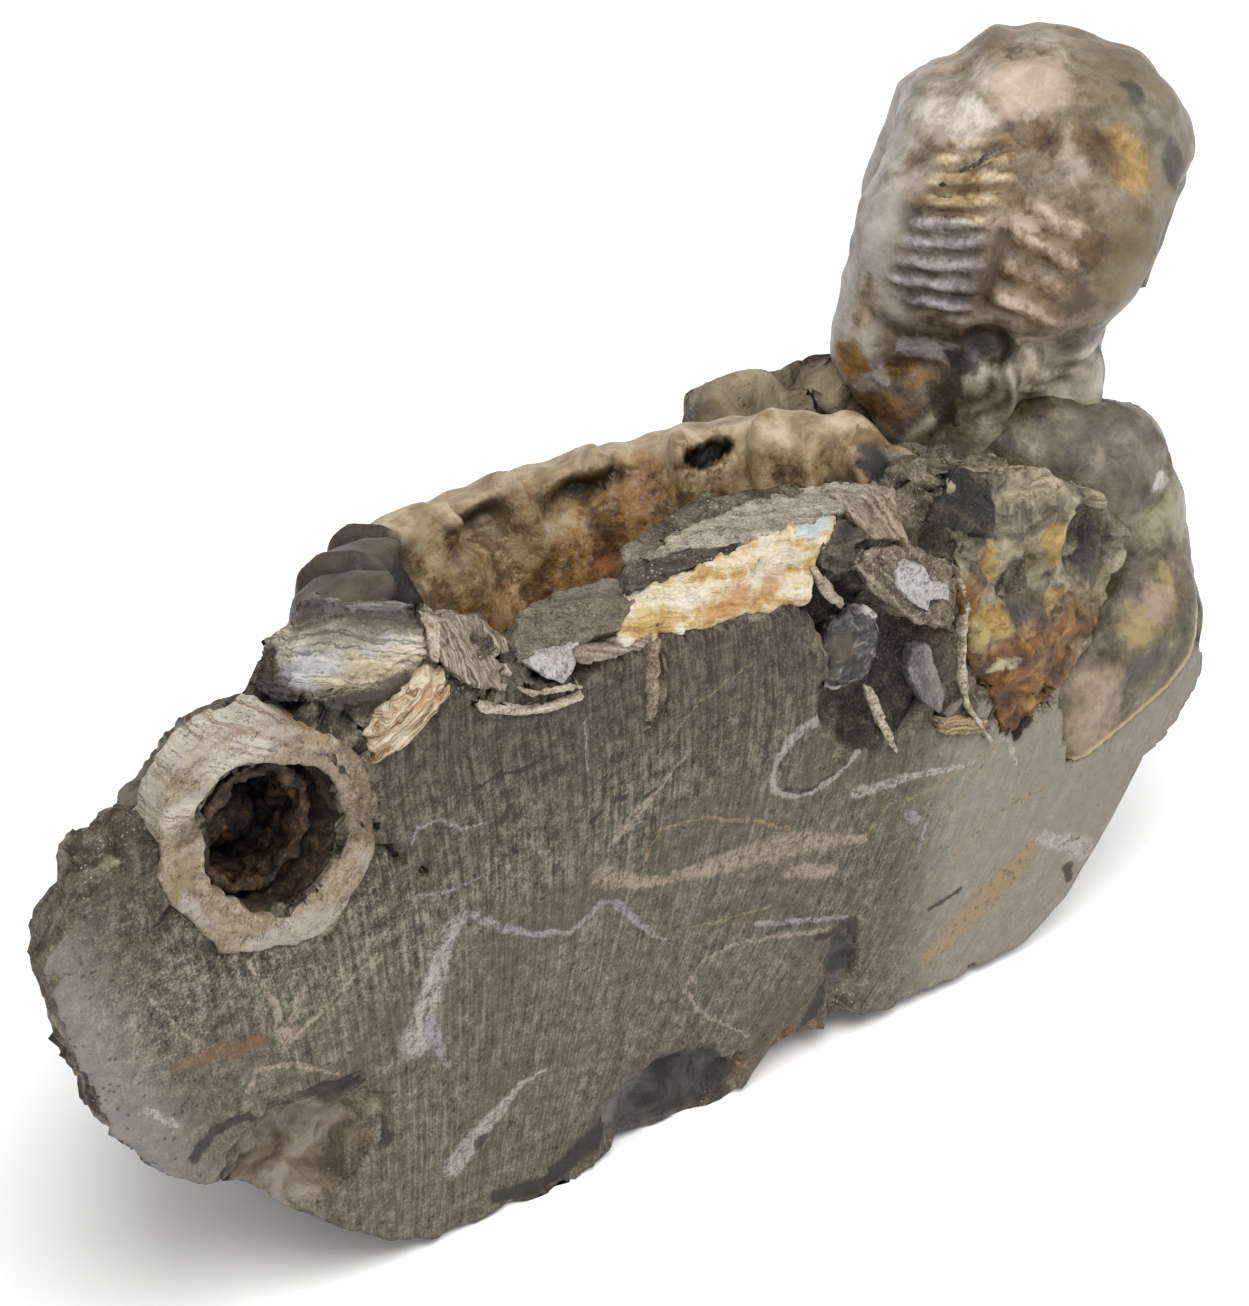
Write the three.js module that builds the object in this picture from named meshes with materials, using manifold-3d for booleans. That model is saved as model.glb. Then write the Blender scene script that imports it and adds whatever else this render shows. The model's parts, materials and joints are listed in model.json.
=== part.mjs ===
// Ammonite cluster in its rock matrix: a sawn block of siltstone with a large ammonite lying in
// its top, a ribbed ammonite standing up at one end, the side of a third one below that, and
// smaller shells, calcite and nacre caught in the broken top edge.
// Millimetres, +Z up. The block is drawn with its sawn face in the plane Y = 0, looking along -Y,
// X to the right along that face and Y into the rock. The finished group is then moved so that
// its origin is under the middle of its bounding box, on the surface that it lies on.

import * as THREE from 'three';
import { ConvexGeometry } from 'three/addons/geometries/ConvexGeometry.js';
import { mergeVertices } from 'three/addons/utils/BufferGeometryUtils.js';
import Module from 'manifold-3d';

const wasm = await Module();
wasm.setup();

// ---------------------------------------------------------------- driving dimensions

const CLEARANCE = 0.35;          // gap between a fossil and the pocket it sits in
const POCKET_SLACK = 0.7;        // more room where a pocket has fewer faces than its fossil
const FACE_LEFT = -45;           // left tip of the sawn face
const FACE_RIGHT = 107;          // right tip of the sawn face
const SLICE_COUNT = 24;          // cross-sections of the block
const TOP_POINTS = 14;           // points of a cross-section over the top
const BACK_POINTS = 4;           // points down the back
const BASE_POINTS = 7;           // points under the base
const ROUGHNESS = 1.1;           // height of the block's lumps

const LYING = {
  centre: [35.5, 8, 57.5],       // middle of the coil
  axis: [0, 0.3, 1],             // leans back
  outerRadius: 41,               // at its open end, on the left
  shrink: 0.86,                  // radius left after half a turn
  height: 14,                    // whorl, across the coil
  width: 23,                     // whorl, along the axis
  sweep: [10, 186],              // degrees of the arc that is left
  nodeSpacing: 21.5,             // degrees between two umbilical nodes
  node: 5.5,                     // reach of a node
};

const STANDING = {
  centre: [102, 30, 74.5],
  keel: [-0.78, -0.62, 0],       // the middle of its ribbed edge looks this way
  lean: 12,                      // degrees, to the right
  outerRadius: 23.5,             // at its open end, low at the back
  shrink: 0.88,                  // radius left after half a turn
  height: 19,
  width: 36,
  sweep: [-142, 214],            // degrees of the outer whorl
  rib: 0.8,
  chevron: 0.16,                 // radians that a rib's ends lag behind its middle
  groove: 0.9,
};

const FLANK = {
  centre: [96.5, 14, 38],
  axis: [-0.18, -0.77, 0.61],    // its side faces forward and up
  radius: [16.5, 23],            // across and up its side
  halfThickness: 9,
  ribs: 15,
  rib: 0.55,
};

const TUBE = {
  centre: [-19, 60],             // x, z of the hollow shell's mouth
  outer: [12.6, 13.2],           // half width, half height
  inner: [7.8, 8.5],
  depth: 25,
  dip: [3, 9],                   // its closed end lies this far right of and below the mouth
  wallAtBack: 3.5,
};

const CRUST = {
  start: 3,                      // behind the mouth
  thickness: 0.85,
  crystal: 1.1,
  rows: 6,
  around: 16,
};

const COIL = { centre: [56, 2.6, 49], axis: [-0.1, -0.9, 0.35], outerRadius: 4.4, height: 3.2, width: 3.6 };
const SPINE = { centre: [28, 1.1, 58.8], length: 9, radii: [0.85, 0.6] };

// Lower and upper edge of the sawn face, left to right.
const FACE_BASE = [[-45, 57], [-43, 42], [-40, 34], [-35, 25.5], [-25, 20], [-19, 14.5], [-12, 7], [-3, 0.4],
  [7, 0], [20, 3], [27, 3.5], [34, 0], [47, 1.5], [53, 4], [60, 1], [84, 1], [92, 8.5], [97, 17], [103, 25],
  [107, 32]];
const FACE_CREST = [[-45, 59], [-42, 62], [-38, 65], [-32, 65], [-27, 60], [-12, 60], [-7, 65], [1, 67.5],
  [18, 62.5], [26, 65], [47, 62], [51, 52], [56, 41], [61, 36.5], [68, 36], [75, 32], [83, 25.5], [99, 28],
  [107, 33.5]];

// How far the rock reaches back from the sawn face.
const BACK_REACH = [[-45, 1], [-40, 8], [-32, 20], [-18, 38], [0, 49], [25, 54], [60, 54], [85, 52], [97, 46],
  [104, 36], [107, 26]];

// Rounded rises of the rock: the point at the top, and how fast it falls away.
const KNOLLS = [
  [[98, 29, 58], 0.06],          // neck under the standing ammonite
  [[94, 40, 62], 0.1],           // its back
  [[75, 15, 62], 0.06],          // over the lying ammonite's inner end
  [[-20, 13, 68.5], 0.16],       // behind the hollow shell
  [[-35, 5, 69], 0.3],           // left end
];

// Blocky, flat-faced rises of the rock.
const CRAGS = [
  // left of the nacre plate
  [[2, 0.8, 58], [2.5, 1.5, 69], [5, 3, 73], [11, 2, 70], [13, 1, 66], [13, 0.8, 58], [4, 10, 71], [13, 10, 68],
    [3, 10, 58], [14, 10, 58]],
  // the layer over the nacre plate
  [[27, 3, 68.5], [54, 7, 66.5], [59, 13, 67], [44, 15, 69.5], [30, 11, 70], [29, 4, 58], [56, 8, 56],
    [44, 15, 58]],
  // the peak beside the calcite
  [[64, 4, 52], [64, 4.5, 60], [69.5, 6, 67.5], [71, 9, 66], [69.5, 4.5, 52], [66, 14, 64], [71, 14, 64],
    [66, 12, 50]],
  // the neck below and left of the standing ammonite
  [[79, 31, 69.5], [78.5, 33, 61], [82, 37, 74], [89, 25, 66], [91, 25, 52], [83, 31, 55], [96, 38, 72],
    [81, 42, 60], [96, 40, 50], [82, 42, 50]],
  // the hump behind the lying ammonite
  [[64, 36, 56], [66, 39, 60], [71, 39, 63.2], [83.5, 39, 58.2], [86, 38, 54], [68, 46, 58], [82, 47, 55],
    [66, 34, 50], [86, 34, 48], [70, 49, 46], [84, 49, 44]],
  // the ledge over the small coil
  [[54, 4, 60], [56, 5, 65], [62, 5.5, 64], [69, 3.6, 55], [68, 2.8, 50], [60, 3, 54.5], [56, 14, 64],
    [69, 13, 61], [60, 11, 50], [69, 11, 46]],
];

// Bites broken out of the rock: middle and half sizes.
const BITES = [
  [[-17, -1.5, 21], [12, 5, 8.5]],
  [[30, -1.5, 3], [11, 5.5, 8]],
  [[47, -1, 1], [6, 4, 4.5]],
  [[54.5, 0, 9], [2.5, 3, 9]],
  [[28, -0.6, 59], [2.6, 2.6, 5.5]],
  [[57, -1, 46], [8, 5.5, 8]],
  [[10, 58, 30], [22, 9, 18]],
  [[72, 60, 18], [20, 11, 14]],
  [[-38, 26, 48], [10, 12, 14]],
  [[108, 30, 12], [12, 16, 12]],
];

// The ground bevel at the left of the sawn face: a point of its edge, and its outward normal.
const BEVEL = { edge: [-36, 0, 40], normal: [-0.225, -0.97, -0.088] };

const CALCITE = [[70, 4, 66], [82, 2, 62.5], [93, 3.5, 55], [95, 2.5, 48], [90, 1.2, 38], [78, 0.4, 30.5],
  [72, 1.5, 44], [70.5, 2, 55], [83, 14, 58], [98, 14, 47], [98, 13, 37], [87, 12, 30]];
const NACRE = { corners: [[24, 0.3, 65], [48, 0.3, 61], [56, 5.5, 66], [27, 2.6, 68.5]], thickness: 1.5 };
const PALE_CHIP = { corners: [[11, 0.5, 63.5], [17, 0.5, 62], [17.5, 1.6, 66], [13.5, 1.6, 66.5]], thickness: 1 };
const WHITE_CHIP = { corners: [[62.5, 2.6, 52], [66, 2.4, 51.5], [66.6, 3, 55.5], [62.6, 3.4, 56.5]], thickness: 1 };
const LENS = { centre: [-5.5, 7.5, 72], radii: [12, 6.5, 5.5], turn: [0, 4, 0], rough: 0.08, pitch: 5 };
const RIBBED = { centre: [-2.9, 1.8, 66.8], radii: [6.4, 2.6, 2.7], turn: [0, -27, 0], rough: 0.1, pitch: 2 };

// ---------------------------------------------------------------- solids and surfaces

const vec = (x, y, z) => new THREE.Vector3(x, y, z);

// Runs smoothly from 0 at one value to 1 at another, which may be the smaller.
function smooth(zero, one, x) {
  const t = THREE.MathUtils.clamp((x - zero) / (one - zero), 0, 1);
  return t * t * (3 - 2 * t);
}

// Height of a line through hand-set points, at x.
function along(points, x) {
  if (x <= points[0][0]) {
    return points[0][1];
  }
  for (let i = 1; i < points.length; i += 1) {
    const [x0, z0] = points[i - 1];
    const [x1, z1] = points[i];
    if (x <= x1) {
      return z0 + ((z1 - z0) * (x - x0)) / (x1 - x0);
    }
  }
  return points[points.length - 1][1];
}

// A smooth, repeatable lumpiness between -1 and 1.
function lumps(x, y, z, pitch) {
  const [a, b, c] = [x / pitch, y / pitch, z / pitch];
  const broad = Math.sin(a * 1.7 + 2.3 * Math.sin(b * 1.1 + 0.4)) * Math.cos(c * 1.9 + 1.3 * Math.sin(a * 0.7));
  const fine = Math.sin(b * 3.1 + c * 2.3 + 1.9 * Math.sin(a * 2.1)) * Math.cos(a * 2.9 - c * 1.3);
  return 0.65 * broad + 0.35 * fine;
}

function stripped(geometry) {
  geometry.deleteAttribute('normal');
  geometry.deleteAttribute('uv');
  return geometry;
}

// A closed triangle mesh with its shared corners merged, ready to cut and join.
function solidFrom(geometry) {
  const merged = mergeVertices(stripped(geometry.clone()), 1e-4);
  const corners = merged.index.array;
  const kept = [];
  for (let i = 0; i < corners.length; i += 3) {
    const [a, b, c] = [corners[i], corners[i + 1], corners[i + 2]];
    if (a !== b && b !== c && c !== a) {
      kept.push(a, b, c);
    }
  }
  const vertProperties = Float32Array.from(merged.attributes.position.array);
  const triVerts = Uint32Array.from(kept);
  return new wasm.Manifold(new wasm.Mesh({ numProp: 3, vertProperties, triVerts }));
}

function geometryFrom(solid) {
  const mesh = solid.getMesh();
  const geometry = new THREE.BufferGeometry();
  geometry.setAttribute('position', new THREE.BufferAttribute(Float32Array.from(mesh.vertProperties), 3));
  geometry.setIndex(new THREE.BufferAttribute(Uint32Array.from(mesh.triVerts), 1));
  return geometry;
}

// The biggest of the separate bodies in a solid.
function largest(solid) {
  return solid.decompose().reduce((best, body) => (body.volume() > best.volume() ? body : best));
}

// Negative where the faces of a closed skin point inwards.
function signedVolume(points, index) {
  let sum = 0;
  for (let i = 0; i < index.length; i += 3) {
    const [a, b, c] = [points[index[i]], points[index[i + 1]], points[index[i + 2]]];
    sum += a.dot(b.clone().cross(c));
  }
  return sum / 6;
}

// Joins rings of equal point count into one closed skin, with a fan over each end.
function loft(rings) {
  const around = rings[0].length;
  const points = rings.flat().map((p) => p.clone());
  const index = [];
  for (let i = 0; i + 1 < rings.length; i += 1) {
    for (let j = 0; j < around; j += 1) {
      const a = i * around + j;
      const b = i * around + ((j + 1) % around);
      index.push(a, b, a + around);
      index.push(b, b + around, a + around);
    }
  }
  const middle = (ring) => ring.reduce((sum, p) => sum.add(p), vec(0, 0, 0)).divideScalar(around);
  const first = points.push(middle(rings[0])) - 1;
  const last = points.push(middle(rings[rings.length - 1])) - 1;
  const end = (rings.length - 1) * around;
  for (let j = 0; j < around; j += 1) {
    const next = (j + 1) % around;
    index.push(first, next, j);
    index.push(last, end + j, end + next);
  }
  if (signedVolume(points, index) < 0) {
    for (let i = 0; i < index.length; i += 3) {
      [index[i], index[i + 1]] = [index[i + 1], index[i]];
    }
  }
  const geometry = new THREE.BufferGeometry().setFromPoints(points);
  geometry.setIndex(index);
  return geometry;
}

// Turns a shape built round its local Z into place, its local X towards `ahead`.
function place(geometry, centre, axis, ahead) {
  const up = vec(...axis).normalize();
  const left = up.clone().cross(vec(...ahead)).normalize();
  const front = left.clone().cross(up);
  const turn = new THREE.Matrix4().makeBasis(front, left, up);
  return geometry.clone().applyMatrix4(turn).translate(...centre);
}

// A rounded lump with an uneven skin.
function pebble({ centre, radii, turn = [0, 0, 0], detail = 2, rough = 0.12, pitch = 4 }, grow = 0) {
  const ball = mergeVertices(stripped(new THREE.IcosahedronGeometry(1, detail)), 1e-4);
  const spot = ball.attributes.position;
  const p = vec(0, 0, 0);
  for (let i = 0; i < spot.count; i += 1) {
    p.fromBufferAttribute(spot, i);
    const swell = 1 + rough * lumps(p.x * radii[0], p.y * radii[1], p.z * radii[2] + centre[0], pitch);
    const [rx, ry, rz] = radii.map((r) => r * swell + grow);
    spot.setXYZ(i, p.x * rx, p.y * ry, p.z * rz);
  }
  const [tx, ty, tz] = turn.map(THREE.MathUtils.degToRad);
  ball.applyMatrix4(new THREE.Matrix4().makeRotationFromEuler(new THREE.Euler(tx, ty, tz)));
  return ball.translate(...centre);
}

// A flat-faced lump round the given corners, grown about its middle.
function crag(corners, grow = 0) {
  const points = corners.map((p) => vec(...p));
  const middle = points.reduce((sum, p) => sum.add(p), vec(0, 0, 0)).divideScalar(points.length);
  const spread = points.map((p) => {
    const out = p.clone().sub(middle);
    return middle.clone().add(out.setLength(out.length() + grow * 1.8));
  });
  return new ConvexGeometry(spread);
}

// A thin plate between four corners, thickened away from the side that shows.
function plate({ corners, thickness }, grow = 0) {
  const [a, b, , d] = corners.map((p) => vec(...p));
  const inward = b.clone().sub(a).cross(d.clone().sub(a)).normalize().multiplyScalar(-thickness - grow);
  const back = corners.map((p) => vec(...p).add(inward).toArray());
  return crag([...corners, ...back], grow);
}

// Everything on the outer side of a plane.
function outside(point, normal) {
  const slab = stripped(new THREE.BoxGeometry(500, 100, 500)).translate(0, -50, 0);
  const turn = new THREE.Quaternion().setFromUnitVectors(vec(0, -1, 0), vec(...normal).normalize());
  return solidFrom(slab.applyQuaternion(turn).translate(...point));
}

const sawnAway = outside([0, 0, 0], [0, -1, 0]);

// ---------------------------------------------------------------- the block of rock

const lyingAxis = vec(...LYING.axis).normalize();

// Height of the lying coil's upper rim over a point.
function rimHeight(x, y) {
  const [cx, cy, cz] = LYING.centre;
  const rise = lyingAxis.x * (x - cx) + lyingAxis.y * (y - cy);
  return cz + (LYING.width / 2 - rise) / lyingAxis.z;
}

function topOfRock(x, y) {
  const crest = along(FACE_CREST, x);
  const away = Math.hypot(x - LYING.centre[0], y - LYING.centre[1]);
  const navel = 10 * smooth(30, 22, away);
  const bed = rimHeight(x, y) - 11 - navel - 0.8 * Math.max(0, away - 40);
  const fallAway = 0.1 + 0.5 * smooth(-24, -34, x);
  const ridge = crest + 0.4 - fallAway * y;
  const scree = Math.min(crest + 1.8 * y, 60);
  const broken = smooth(44, 54, x) * smooth(98, 84, x);
  const front = THREE.MathUtils.lerp(ridge, scree, broken);
  const slope = THREE.MathUtils.lerp(bed, front, smooth(14, 9, y));
  const rises = KNOLLS.map(([[cx, cy, top], fall]) => top - fall * ((x - cx) ** 2 + (y - cy) ** 2));
  return THREE.MathUtils.lerp(crest, Math.max(slope, ...rises), smooth(0, 2.5, y));
}

function baseOfRock(x, y) {
  const reach = along(BACK_REACH, x);
  const undercut = 0.28 * reach * smooth(0.66, 1, y / reach) ** 1.5;
  const uneven = 1.2 * lumps(x, y, 5, 9) * smooth(0, 6, y);
  return Math.max(0, along(FACE_BASE, x) + undercut + uneven);
}

// One upright slice of the block, as a closed loop: up the sawn face, back over the top,
// down the broken back and forward again under the base.
function rockSlice(x) {
  const reach = along(BACK_REACH, x);
  const loop = [vec(x, 0, baseOfRock(x, 0)), vec(x, 0, along(FACE_CREST, x))];
  for (let i = 1; i <= TOP_POINTS; i += 1) {
    const y = reach * 0.97 * (i / TOP_POINTS) ** 1.15;
    const shoulder = 10 * smooth(0.8, 1, y / reach);
    const rough = ROUGHNESS * lumps(x, y, 3, 6) * smooth(0, 2.5, y);
    loop.push(vec(x, y, Math.max(baseOfRock(x, y) + 1.5, topOfRock(x, y) - shoulder + rough)));
  }
  const top = loop[loop.length - 1].z;
  const low = baseOfRock(x, reach * 0.93);
  for (let i = 1; i <= BACK_POINTS; i += 1) {
    const part = i / (BACK_POINTS + 1);
    const z = THREE.MathUtils.lerp(top, low, part);
    const bulge = (Math.sin(part * Math.PI) * (2 + 1.6 * lumps(x, z, 2, 8)) * (top - low)) / 40;
    loop.push(vec(x, reach * 0.97 + bulge, z));
  }
  for (let i = 0; i < BASE_POINTS; i += 1) {
    const y = reach * 0.93 * (1 - i / BASE_POINTS);
    loop.push(vec(x, y, baseOfRock(x, y)));
  }
  return loop;
}

// The block with its crags and bites, cut by the saw and bevelled, before any pocket.
function brokenRock() {
  const slices = [];
  for (let i = 0; i <= SLICE_COUNT; i += 1) {
    slices.push(rockSlice(THREE.MathUtils.lerp(FACE_LEFT, FACE_RIGHT, i / SLICE_COUNT)));
  }
  let rock = solidFrom(loft(slices));
  for (const corners of CRAGS) {
    rock = rock.add(solidFrom(crag(corners)));
  }
  for (const [centre, radii] of BITES) {
    rock = rock.subtract(solidFrom(pebble({ centre, radii, detail: 1 })));
  }
  return rock.subtract(sawnAway).subtract(outside(BEVEL.edge, BEVEL.normal));
}

// ---------------------------------------------------------------- coiled shells

// One stretch of whorl round the local Z axis. Ribs stand on its outer side, lag at their ends
// and part at a groove along the middle; nodes stand on the inner shoulder of the +Z side.
function whorl({ outerRadius, shrink, height, width, sweep, steps, around, rib = 0, chevron = 0, groove = 0,
  node = 0, nodeSpacing = 20, squareness = 1 }, grow = 0) {
  const rings = [];
  const [from, to] = sweep.map(THREE.MathUtils.degToRad);
  const pitch = THREE.MathUtils.degToRad(nodeSpacing);
  const blunt = (value) => Math.sign(value) * Math.abs(value) ** squareness;
  for (let i = 0; i <= steps; i += 1) {
    const turned = THREE.MathUtils.lerp(from, to, i / steps);
    const scale = shrink ** ((to - turned) / Math.PI);
    const crest = i % 2 === 0 ? rib : 0;
    const beat = Math.max(0, Math.cos((turned / pitch) * 2 * Math.PI)) ** 3;
    const ring = [];
    for (let j = 0; j < around; j += 1) {
      const phi = (j / around) * 2 * Math.PI;
      const out = blunt(Math.cos(phi));
      const across = blunt(Math.sin(phi));
      const outer = smooth(-0.35, 0.35, Math.cos(phi));
      const raised = crest * outer - groove * smooth(0.9, 1, Math.cos(phi));
      const shoulder = Math.exp(-(((across - 0.75) / 0.3) ** 2)) * smooth(0.1, -0.5, out);
      const knob = node * shoulder * beat;
      const reachOut = ((height / 2) * scale + raised + knob * 0.5 + grow) * out;
      const reachSide = ((width / 2) * scale + raised * 0.6 + knob + grow) * across;
      const radius = (outerRadius - height / 2) * scale + reachOut;
      const angle = turned + chevron * Math.abs(across) * outer;
      ring.push(vec(radius * Math.cos(angle), radius * Math.sin(angle), reachSide));
    }
    rings.push(ring);
  }
  return loft(rings);
}

function lyingAmmonite({ pocket }) {
  const finish = pocket ? { steps: 18, around: 10 } : { steps: 42, around: 14, rib: 0.7 };
  const nodes = pocket ? { node: 0 } : {};
  const shape = whorl({ ...LYING, squareness: 0.85, ...finish, ...nodes }, pocket ? 1.9 + POCKET_SLACK : 0);
  return solidFrom(place(shape, LYING.centre, LYING.axis, [1, 0, 0]));
}

function standingAmmonite({ pocket }) {
  const ahead = vec(...STANDING.keel).normalize();
  const left = vec(ahead.y, -ahead.x, 0);
  const tilt = THREE.MathUtils.degToRad(STANDING.lean);
  const axis = left.multiplyScalar(Math.cos(tilt)).add(vec(0, 0, Math.sin(tilt)));
  const coarse = { steps: 16, around: 9, rib: 0, chevron: 0, groove: 0 };
  const outer = { ...STANDING, ...(pocket ? coarse : { steps: 58, around: 12 }) };
  const inner = {
    outerRadius: STANDING.outerRadius * 0.5,
    shrink: STANDING.shrink,
    height: STANDING.height * 0.5,
    width: STANDING.width * 0.5,
    sweep: STANDING.sweep,
    steps: 14,
    around: 7,
  };
  const grow = pocket ? STANDING.rib + POCKET_SLACK : 0;
  const [big, small] = [outer, inner].map((coil) => {
    const shape = place(whorl(coil, grow), STANDING.centre, axis.toArray(), ahead.toArray());
    return solidFrom(shape);
  });
  const hub = solidFrom(pebble({ centre: STANDING.centre, radii: [4.5, 4.5, 4.5], detail: 1 }));
  return pocket ? big : big.add(small).add(hub);
}

// A closed coil that shows one side: rings from its navel out over the rim to the other side.
function flankAmmonite({ pocket }) {
  const profile = [[0.1, 0.62], [0.3, 0.9], [0.55, 1], [0.8, 0.78], [0.95, 0.4], [1, 0], [0.9, -0.6], [0.5, -1]];
  const around = pocket ? FLANK.ribs : FLANK.ribs * 2;
  const grow = pocket ? FLANK.rib + POCKET_SLACK : 0;
  const rings = profile.map(([out, rise]) => {
    const points = [];
    for (let j = 0; j < around; j += 1) {
      const a = (j / around) * 2 * Math.PI;
      const ripple = j % 2 === 0 && !pocket ? FLANK.rib * smooth(0.4, 0.9, out) : 0;
      const [wide, tall] = FLANK.radius.map((r) => (r + grow + ripple) * out);
      const height = (FLANK.halfThickness + grow + ripple) * rise;
      points.push(vec(wide * Math.cos(a), tall * Math.sin(a), height));
    }
    return points;
  });
  return solidFrom(place(loft(rings), FLANK.centre, FLANK.axis, [1, 0, 0])).subtract(sawnAway);
}

function smallCoil({ grow }) {
  const shape = whorl({ ...COIL, shrink: 0.7, sweep: [-170, 185], steps: 18, around: 8 }, grow);
  return solidFrom(place(shape, COIL.centre, COIL.axis, [1, 0, 0]));
}

// ---------------------------------------------------------------- the hollow shell

// One ring of the shell or of its lining, at a depth behind the mouth.
function tubeRing(half, depth, around, bump) {
  const [cx, cz] = TUBE.centre;
  const [dipX, dipZ] = TUBE.dip;
  const down = (Math.max(0, depth) / TUBE.depth) ** 1.3;
  const points = [];
  for (let j = 0; j < around; j += 1) {
    const a = (j / around) * 2 * Math.PI;
    const [wide, tall] = half.map((h) => bump(h, a, j));
    points.push(vec(cx + down * dipX + wide * Math.cos(a), depth, cz - down * dipZ + tall * Math.sin(a)));
  }
  return points;
}

const closing = (part) => Math.sqrt(Math.max(0.02, 1 - part ** 2.4));

// A cup with an uneven wall: rings from its closed end to the mouth, then back inside.
function hollowShell({ pocket, grow }) {
  const around = pocket ? 12 : 18;
  const swell = pocket ? grow + POCKET_SLACK : grow;
  const beyond = 0.5;
  const wall = (half, part, rough) => (depth) => tubeRing(half, depth, around, (h, a) => (
    (h + swell) * closing(part) * (1 + rough * lumps(9 * Math.cos(a), depth * 0.5, 9 * Math.sin(a), 5))
  ));
  const rings = [];
  for (let i = 0; i <= 5; i += 1) {
    const part = 1 - i / 5;
    rings.push(wall(TUBE.outer, part, 0.05)(TUBE.depth * part - (part === 0 ? beyond : 0)));
  }
  const cavity = TUBE.depth - TUBE.wallAtBack;
  for (let i = 0; i <= 5 && !pocket; i += 1) {
    const part = i / 5;
    rings.push(wall(TUBE.inner, part, 0.08)(cavity * part - (part === 0 ? beyond : 0)));
  }
  return solidFrom(loft(rings)).subtract(sawnAway);
}

// Crystals that line the hollow shell: a thin skin whose inner side is all low points.
function crystalCrust() {
  const cavity = TUBE.depth - TUBE.wallAtBack;
  const ring = (row, inset, crystal) => {
    const depth = THREE.MathUtils.lerp(CRUST.start, cavity - 0.6, row / CRUST.rows);
    const close = closing(depth / cavity);
    return tubeRing(TUBE.inner, depth, CRUST.around, (h, a, j) => {
      const point = (row + j) % 2 === 0 ? crystal : 0;
      return Math.max(0.6, h * close * 0.92 - inset - point);
    });
  };
  const rings = [];
  for (let row = CRUST.rows; row >= 0; row -= 1) {
    rings.push(ring(row, CLEARANCE, 0));
  }
  for (let row = 0; row < CRUST.rows; row += 1) {
    rings.push(ring(row, CLEARANCE + CRUST.thickness, CRUST.crystal));
  }
  return solidFrom(loft(rings));
}

// ---------------------------------------------------------------- small pieces

function spine({ grow }) {
  const [wide, narrow] = SPINE.radii.map((r) => r + grow);
  const rod = stripped(new THREE.CylinderGeometry(wide, narrow, SPINE.length + 2 * grow, 8));
  return solidFrom(rod.rotateX(Math.PI / 2).translate(...SPINE.centre));
}

const calciteChunk = ({ grow }) => solidFrom(crag(CALCITE, grow));
const nacrePlate = ({ grow }) => solidFrom(plate(NACRE, grow));
const paleChip = ({ grow }) => solidFrom(plate(PALE_CHIP, grow));
const whiteChip = ({ grow }) => solidFrom(plate(WHITE_CHIP, grow));
const lensShell = ({ grow, pocket }) => solidFrom(pebble({ ...LENS, detail: pocket ? 2 : 3 }, grow));
const ribbedShell = ({ grow }) => solidFrom(pebble(RIBBED, grow));

// ---------------------------------------------------------------- assembly

// Each fossil: how it is made, its colour and roughness, and the fossils that cut into it.
const FOSSILS = {
  lying_ammonite: [lyingAmmonite, 0x7a5a38, 0.45, ['lens_shell']],
  standing_ammonite: [standingAmmonite, 0xb09a78, 0.5, []],
  flank_ammonite: [flankAmmonite, 0x9a8a70, 0.45, ['calcite_chunk', 'standing_ammonite']],
  hollow_shell: [hollowShell, 0xd8c3a5, 0.75, []],
  calcite_chunk: [calciteChunk, 0x9a6a30, 0.4, []],
  nacre_plate: [nacrePlate, 0xe0c080, 0.3, []],
  lens_shell: [lensShell, 0x8a8478, 0.5, ['hollow_shell']],
  ribbed_shell: [ribbedShell, 0xd8c8ac, 0.65, ['hollow_shell', 'lens_shell']],
  small_coiled_shell: [smallCoil, 0x6a665c, 0.4, []],
  pale_shell_chip: [paleChip, 0xddd5c8, 0.6, []],
  white_shell_chip: [whiteChip, 0xe0dcd4, 0.6, []],
  spine: [spine, 0xb0a084, 0.7, []],
};

const makeSolid = (name, options) => FOSSILS[name][0](options);
const pocketFor = (name) => makeSolid(name, { pocket: true, grow: CLEARANCE });

function named(name, solid, color, roughness) {
  const material = new THREE.MeshStandardMaterial({ color, roughness, metalness: 0 });
  const mesh = new THREE.Mesh(geometryFrom(solid), material);
  mesh.name = name;
  return mesh;
}

const cluster = new THREE.Group();
let rock = brokenRock();
for (const [name, [, color, roughness, cutters]] of Object.entries(FOSSILS)) {
  let fossil = makeSolid(name, { pocket: false, grow: 0 });
  for (const cutter of cutters) {
    fossil = largest(fossil.subtract(pocketFor(cutter)));
  }
  rock = rock.subtract(pocketFor(name));
  cluster.add(named(name, fossil, color, roughness));
}
cluster.add(named('crystal_crust', crystalCrust(), 0x5a4028, 0.4));
cluster.add(named('matrix_block', largest(rock), 0x78705f, 0.9));

// Set down: the origin goes under the middle of the box, on the resting surface.
const box = new THREE.Box3().setFromObject(cluster);
const middle = box.getCenter(vec(0, 0, 0));
cluster.position.set(-middle.x, -middle.y, -box.min.z);

export default cluster;
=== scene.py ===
# Ammonite cluster in its rock matrix: the surfaces, finishes, light and camera.
# Sizes are in block millimetres: x along the ground face from under the left third of the block,
# y into the rock from that face, z up from the surface that the block lies on.

import json
import math

import bpy
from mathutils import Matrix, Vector, noise
from mathutils.bvhtree import BVHTree
from mathutils.kdtree import KDTree

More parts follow.
